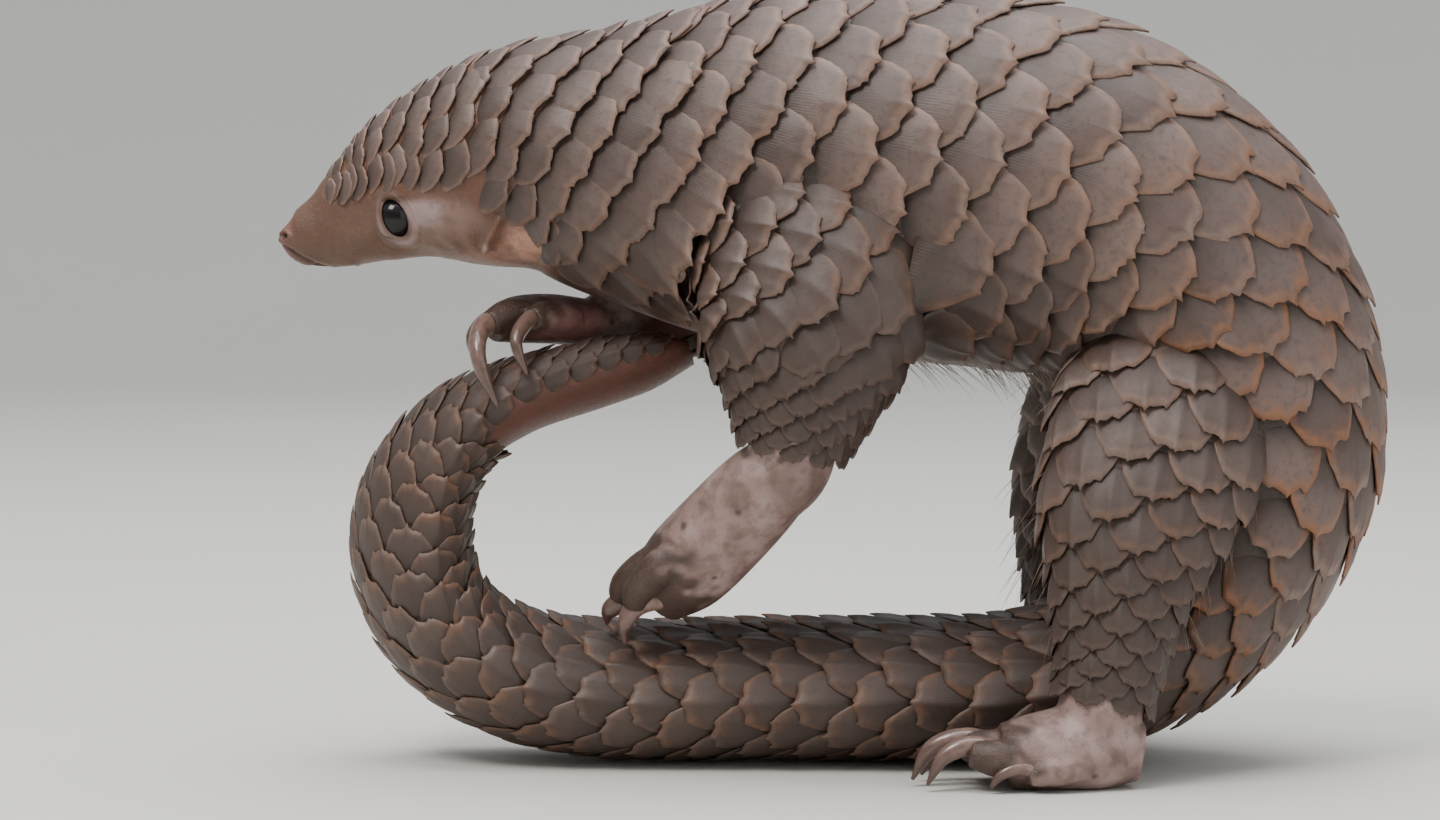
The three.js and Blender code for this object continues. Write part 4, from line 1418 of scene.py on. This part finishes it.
def scale_horn():
    """Brown horn, each scale in its own tone, with a painted shadow towards its root, painted shade on low
    and rear scales, a pale or rusty rear edge whose paleness is partly wear and partly a painted
    highlight, and growth lines.
    """
    tints = colours()
    horn = Finish("scale horn", 0.5)
    along, rim, tone = horn.attribute("Place"), horn.attribute("Rim"), horn.attribute("Tone")
    rust, side, painted_shade = horn.attribute("Rust"), horn.attribute("Side"), horn.attribute("PaintedShade")
    broad, fine = horn.noise(90, 3), horn.noise(900, 5, 0.65)
    colour = horn.blend(tone, tints.scale_dark, tints.scale_pale)
    colour = horn.blend(horn.ramp(broad, 0.35, 0.7, 0.0, 0.55), colour, tints.scale_grey)
    # painted shadow towards each scale's root, where the scales before it lie over it; then fine dark
    # flecks in the same colour
    colour = horn.blend(horn.ramp(along, 0.25, 0.75, 0.75, 0.0), colour, tints.root_shadow_and_fleck)
    colour = horn.blend(horn.ramp(fine, 0.45, 0.75, 0.0, 0.45), colour, tints.root_shadow_and_fleck)
    # painted shade darkens low and rear scales, the tail, head and neck, and the lower limbs
    colour = horn.blend(horn.times(painted_shade, 0.85), colour, tints.scale_shade)
    # rust creeps in from the edge in ragged clouds
    rusty = horn.times(horn.ramp(horn.noise(70, 3), 0.36, 0.56), rust)
    creep = horn.times(horn.ramp(rim, 0.0, 0.95, 1.0, 0.0), horn.ramp(along, 0.35, 0.8))
    clouds = horn.ramp(horn.noise(420, 4, 0.6), 0.42, 0.6)
    creep = horn.times(horn.times(creep, clouds), rusty)
    colour = horn.blend(horn.times(creep, 0.5), colour, tints.scale_rust)
    # the rear edge is paler, partly from wear and partly a painted highlight, and less so in painted
    # shade; it is rusty where dust has settled
    ragged = horn.times(horn.ramp(fine, 0.3, 0.6, 0.45, 1.0), horn.ramp(rim, 0.0, 0.5, 1.0, 0.0))
    rear = horn.times(ragged, horn.ramp(along, 0.45, 0.85))
    unshaded = horn.maths("SUBTRACT", 0.66, horn.times(painted_shade, 0.5))
    edge = horn.blend(rusty, tints.edge_wear_and_highlight, tints.scale_rust)
    colour = horn.blend(horn.times(rear, unshaded), colour, edge)
    # fine growth lines run from root to tip
    across = horn.node("ShaderNodeCombineXYZ", {"X": side, "Y": tone}).outputs["Vector"]
    inputs = {"Vector": across, "Scale": 5.0, "Distortion": 4.0, "Detail": 2.0}
    wave = horn.node("ShaderNodeTexWave", inputs, wave_type="BANDS", bands_direction="X")
    lines = horn.times(wave.outputs["Fac"], horn.ramp(along, 0.3, 0.9, 0.22, 0.05))
    horn.bump(horn.maths("ADD", lines, horn.times(fine, 1.2)), 0.35, 0.00022)
    return horn.surfaced(colour, horn.ramp(broad, 0.3, 0.7, 0.48, 0.66))


def bare_skin():
    """Soft skin in the piece's own tint, mottled and finely creased."""
    skin = Finish("skin", 0.55, Subsurface_Weight=0.12, Subsurface_Scale=0.5)
    skin.inputs["Subsurface Radius"].default_value = (0.004, 0.002, 0.0012)
    tint = skin.attribute("Tint", "Color")
    broad, fine = skin.noise(320, 5, 0.62), skin.noise(1500, 5, 0.6)
    inputs = {"Vector": skin.place, "Scale": 1700}
    cells = skin.node("ShaderNodeTexVoronoi", inputs, feature="DISTANCE_TO_EDGE")
    colour = skin.blend(skin.ramp(broad, 0.44, 0.62, 0.0, 0.42), tint, SKIN_BLOTCH)
    colour = skin.blend(skin.ramp(fine, 0.45, 0.8, 0.0, 0.12), colour, SKIN_FLECK)
    creases = skin.ramp(cells.outputs["Distance"], 0.0, 0.25)
    height = skin.maths("ADD", creases, skin.times(fine, 0.8))
    skin.bump(skin.maths("ADD", height, skin.times(broad, 2.5)), 0.3, 0.00014)
    return skin.surfaced(colour, skin.ramp(fine, 0.3, 0.7, 0.42, 0.62))


def claw_horn():
    """Glossy horn, paler at the root, with dark streaks."""
    tints = colours()
    horn = Finish("claw horn", 0.28, Coat_Weight=0.35)
    colour = horn.blend(horn.ramp(horn.attribute("Place"), 0.0, 1.0), tints.claw_root, tints.claw_tip)
    streaks = horn.ramp(horn.noise(700, 3), 0.4, 0.7, 0.0, 0.5)
    colour = horn.blend(streaks, colour, CLAW_STREAK)
    horn.bump(horn.noise(1800, 3), 0.2, 0.0001)
    return horn.surfaced(colour)


def clouded(finish, scale, detail, first, second):
    """Soft clouds of two colours."""
    share = finish.ramp(finish.noise(scale, detail), 0.3, 0.7)
    return finish.surfaced(finish.blend(share, first, second))


def belly_hair():
    """Dull brown to pale hair."""
    return clouded(Finish("hair", 0.5), 300, 2, linear(150, 128, 112), linear(104, 82, 66))


def eye_gloss():
    """Nearly black, wet and clear."""
    eye = Finish("eye", 0.14, Coat_Weight=0.15, Coat_Roughness=0.04, Specular_IOR_Level=0.25)
    return clouded(eye, 500, 2, (0.003, 0.0025, 0.003), (0.010, 0.007, 0.006))


def pale_floor():
    """A matt pale floor with hardly any clouds."""
    pale = colours().floor_colour
    return clouded(Finish("pale floor", 0.75), 3, 3, pale, [c * 0.97 for c in pale])


MATERIALS = {}


def dress(obj, maker):
    """Gives a piece its material, made once and shared."""
    if maker not in MATERIALS:
        MATERIALS[maker] = maker()
    obj.data.materials.clear()
    obj.data.materials.append(MATERIALS[maker])


# Stage. Floor and aim of the camera are in millimetres, lights in metres and watts.

FLOOR_RINGS, FLOOR_SIDES = 40, 96
FLAT_RINGS = 16  # of the floor, before it turns up into the wall
FLOOR_LEVEL = -0.2
FLOOR_RADIUS, WALL_RADIUS = 1500, 900
WALL_FROM, WALL_GROWTH = 1.45, 4800  # past this turn the wall rises so much more for each radian
SKY_COLOUR, SKY_STRENGTH = (0.86, 0.92, 1.0, 1), 0.84
LIGHTS = [
    # name, place, size, power and colour
    ("key", (-0.45, -0.6, 1.05), 0.45, 11.0, (1.0, 0.97, 0.92)),
    ("top", (0.1, 0.1, 1.2), 1.1, 17.5, (1.0, 1.0, 1.0)),
    ("fill", (0.9, -0.8, 0.35), 1.0, 3.5, (0.94, 0.97, 1.0)),
]
LIGHT_AIM = (0, 0, 0.06)
CAMERA_AIM = (-20.6, 61.3)  # x in the tables' place, z in the frame
SENSOR = 36
VIEW_WIDTH = 0.252  # of what the camera sees at the animal's middle plane, in metres


def floor_sheet():
    """A round floor that turns up into a wall far behind."""
    turns = np.arange(FLOOR_SIDES) / FLOOR_SIDES * 2 * math.pi
    points, faces = [(0, 0, FLOOR_LEVEL)], []
    for i in range(FLOOR_RINGS):
        far = min(i + 1, FLAT_RINGS) / FLAT_RINGS * FLOOR_RADIUS
        rise = FLOOR_LEVEL
        if i >= FLAT_RINGS:
            turn = (i + 1 - FLAT_RINGS) / (FLOOR_RINGS - FLAT_RINGS) * math.pi / 2
            far += WALL_RADIUS * math.sin(turn)
            rise += WALL_RADIUS * (1 - math.cos(turn)) + WALL_GROWTH * max(turn - WALL_FROM, 0)
        points += [(far * math.cos(a), far * math.sin(a), rise) for a in turns]
    for j in range(FLOOR_SIDES):
        k = (j + 1) % FLOOR_SIDES
        faces.append((0, 1 + j, 1 + k))
        for i in range(FLOOR_RINGS - 1):
            a, b = 1 + i * FLOOR_SIDES, 1 + (i + 1) * FLOOR_SIDES
            faces.append((a + j, b + j, b + k, a + k))
    return mesh_object("floor", np.array(points), faces)


def add_light(name, place, size, power, colour):
    """One square lamp, turned to the animal."""
    bpy.ops.object.light_add(type="AREA", location=place)
    lamp = bpy.context.object
    lamp.name = name
    lamp.data.size = size
    lamp.data.energy = power
    lamp.data.color = colour
    aim = Vector(LIGHT_AIM) - Vector(place)
    lamp.rotation_euler = aim.to_track_quat("-Z", "Y").to_euler()


def add_camera():
    """Straight at the animal's left side, a little from above."""
    data = bpy.data.cameras.new("camera")
    camera = bpy.data.objects.new("camera", data)
    bpy.context.collection.objects.link(camera)
    distance = sizes().camera_distance
    rise = math.radians(sizes().camera_height)
    aim = Vector(((CAMERA_AIM[0] + SHIFT[0]) * MM, 0, CAMERA_AIM[1] * MM))
    camera.location = aim + Vector((0, -math.cos(rise), math.sin(rise))) * distance
    camera.rotation_euler = (aim - camera.location).to_track_quat("-Z", "Y").to_euler()
    data.sensor_width = SENSOR
    data.lens = SENSOR * distance / VIEW_WIDTH
    data.clip_start = 0.01
    bpy.context.scene.camera = camera


# Settings


def colour_property(name, description, default):
    """A colour that a user can change."""
    return bpy.props.FloatVectorProperty(
        name=name, description=description, subtype="COLOR", size=3, min=0, max=1, default=default
    )


class PANGOLIN_PG_colours(bpy.types.PropertyGroup):
    """Colours of horn and floor."""

    scale_dark: colour_property("Dark scale", "The darkest scales", linear(72, 55, 48))
    scale_pale: colour_property("Pale scale", "The palest scales", linear(106, 87, 79))
    scale_grey: colour_property("Grey bloom", "Grey clouds on the scales", linear(98, 83, 80))
    # the colour of painted shade on low and rear scales
    scale_shade: colour_property("Shaded scale", "Scales darkened by soil", linear(56, 42, 34))
    # painted shadow at a scale's root, and the colour of its fine dark flecks
    root_shadow_and_fleck: colour_property("Root shadow and fleck", "Horn near the root", linear(50, 38, 32))
    # a worn rear edge that is partly a painted highlight
    edge_wear_and_highlight: colour_property("Edge wear and highlight", "The worn rear edge", linear(152, 126, 112))
    scale_rust: colour_property("Rusty edge", "The edge where dust has settled", linear(146, 92, 52))
    claw_root: colour_property("Claw root", "Claw horn at its root", linear(140, 112, 102))
    claw_tip: colour_property("Claw tip", "Claw horn at its tip", linear(84, 62, 54))
    floor_colour: colour_property("Floor", "The pale floor", (0.62, 0.60, 0.56))


class PANGOLIN_PG_sizes(bpy.types.PropertyGroup):
    """Sizes that a user would change."""

    trunk_rows: bpy.props.IntProperty(
        name="Trunk rows", description="Rows of scales all round the trunk", default=22, min=12, max=32
    )
    tail_rows: bpy.props.IntProperty(
        name="Tail rows", description="Rows of scales all round the tail", default=16, min=8, max=24
    )
    hair_count: bpy.props.IntProperty(
        name="Hairs",
        description="Hairs on the belly, with a third as many on each hind leg",
        default=420,
        min=0,
        max=3000,
    )
    camera_distance: bpy.props.FloatProperty(
        name="Camera distance", description="From the middle plane", default=0.7, unit="LENGTH"
    )
    camera_height: bpy.props.FloatProperty(
        name="Camera elevation", description="Degrees above level", default=3.0, min=-20, max=60
    )


def colours():
    return bpy.context.scene.pangolin_colours


def sizes():
    return bpy.context.scene.pangolin_sizes


# Operators, one for each piece or group of like pieces

FLESH = ["head", "neck", "torso_front", "torso_middle", "rump"]
FLESH += [f"tail_{k}" for k in range(1, 7)] + ["ear_left", "ear_right"]
FLESH += ["foreleg_left", "foreleg_right", "hind_leg_left", "hind_leg_right"]


class PANGOLIN_OT_skin(bpy.types.Operator):
    """One skin over head, trunk, limbs and tail, with the face's features"""

    bl_idname = "pangolin.skin"
    bl_label = "Skin"
    bl_options = {"REGISTER", "UNDO"}

    def execute(self, context):
        skin = body_skin()
        for name, form in FORMS.items():
            limb = limb_skin(form, name)
            applied(skin, "BOOLEAN", operation="UNION", solver="MANIFOLD", object=limb)
            bpy.data.objects.remove(limb)
        skin.data.shade_smooth()
        set_colours(skin, skin_colours(own_points(skin)))
        dress(skin, bare_skin)
        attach(skin, "root")
        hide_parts(*FLESH)
        return {"FINISHED"}


class PANGOLIN_OT_feet(bpy.types.Operator):
    """The four naked feet and their claws"""

    bl_idname = "pangolin.feet"
    bl_label = "Feet"
    bl_options = {"REGISTER", "UNDO"}

    def execute(self, context):
        for name, (form, leg, stop, toes, claws, outer_claws, shades) in FEET.items():
            foot = toed_foot(name + "_skin", form, FORMS[leg], toes, stop)
            set_colours(foot, foot_colours(own_points(foot), *shades))
            dress(foot, bare_skin)
            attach(foot, "root")
            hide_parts(name)
            for k, (*points, half) in enumerate(claws):
                node = f"{name}_claw_{k + 1}"
                horn = claw(node + "_horn", points, half)
                dress(horn, claw_horn)
                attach(horn, "root")
                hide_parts(node)
            for k, (*points, half) in enumerate(outer_claws):
                horn = claw(f"{name}_outer_claw_{k + 1}_horn", points, half)
                dress(horn, claw_horn)
                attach(horn, "root")
        return {"FINISHED"}


class PANGOLIN_OT_eyes(bpy.types.Operator):
    """Dark glossy eyes"""

    bl_idname = "pangolin.eyes"
    bl_label = "Eyes"
    bl_options = {"REGISTER", "UNDO"}

    def execute(self, context):
        for side, sign in (("left", 1), ("right", -1)):
            eye = eyeball(f"eyeball_{side}", (EYE * (1, sign, 1) + SHIFT) * MM)
            dress(eye, eye_gloss)
            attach(eye, "root")
            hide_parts(f"eye_{side}")
        return {"FINISHED"}


class PANGOLIN_OT_scales(bpy.types.Operator):
    """Overlapping scales of trunk, tail and limbs"""

    bl_idname = "pangolin.scales"
    bl_label = "Scales"
    bl_options = {"REGISTER", "UNDO"}

    def execute(self, context):
        made = trunk_scales() + tail_scales()
        made += [limb_scales(name, 31 + k) for k, name in enumerate(LIMB_SCALES)]
        for obj in made:
            dress(obj, scale_horn)
            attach(obj, "root")
        return {"FINISHED"}


class PANGOLIN_OT_hairs(bpy.types.Operator):
    """Sparse hairs of belly and hind legs"""

    bl_idname = "pangolin.hairs"
    bl_label = "Hairs"
    bl_options = {"REGISTER", "UNDO"}

    def execute(self, context):
        made = hairs(sizes().hair_count, 71)
        dress(made, belly_hair)
        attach(made, "root")
        return {"FINISHED"}


class PANGOLIN_OT_stage(bpy.types.Operator):
    """Pale floor, soft light and the camera"""

    bl_idname = "pangolin.stage"
    bl_label = "Stage"
    bl_options = {"REGISTER", "UNDO"}

    def execute(self, context):
        floor = floor_sheet()
        dress(floor, pale_floor)
        sky = bpy.data.worlds.new("soft sky")
        sky.use_nodes = True
        inputs = sky.node_tree.nodes["Background"].inputs
        inputs["Color"].default_value = SKY_COLOUR
        inputs["Strength"].default_value = SKY_STRENGTH
        context.scene.world = sky
        for light in LIGHTS:
            add_light(*light)
        add_camera()
        return {"FINISHED"}


class PANGOLIN_PT_panel(bpy.types.Panel):
    """Settings and one button for each operator, in the sidebar"""

    bl_idname = "PANGOLIN_PT_panel"
    bl_label = "Pangolin"
    bl_space_type = "VIEW_3D"
    bl_region_type = "UI"
    bl_category = "Pangolin"

    def draw(self, context):
        for group in (context.scene.pangolin_sizes, context.scene.pangolin_colours):
            for key in group.__annotations__:
                self.layout.prop(group, key)
        for operator in OPERATORS:
            self.layout.operator(operator.bl_idname)


OPERATORS = [
    PANGOLIN_OT_skin,
    PANGOLIN_OT_feet,
    PANGOLIN_OT_eyes,
    PANGOLIN_OT_scales,
    PANGOLIN_OT_hairs,
    PANGOLIN_OT_stage,
]
CLASSES = [PANGOLIN_PG_colours, PANGOLIN_PG_sizes, *OPERATORS, PANGOLIN_PT_panel]


def register():
    for made in CLASSES:
        bpy.utils.register_class(made)
    bpy.types.Scene.pangolin_colours = bpy.props.PointerProperty(type=PANGOLIN_PG_colours)
    bpy.types.Scene.pangolin_sizes = bpy.props.PointerProperty(type=PANGOLIN_PG_sizes)


def unregister():
    del bpy.types.Scene.pangolin_colours
    del bpy.types.Scene.pangolin_sizes
    for made in reversed(CLASSES):
        bpy.utils.unregister_class(made)


def main():
    register()
    bpy.ops.pangolin.skin()
    bpy.ops.pangolin.feet()
    bpy.ops.pangolin.eyes()
    bpy.ops.pangolin.scales()
    bpy.ops.pangolin.hairs()
    bpy.ops.pangolin.stage()


if __name__ == "__main__":
    main()
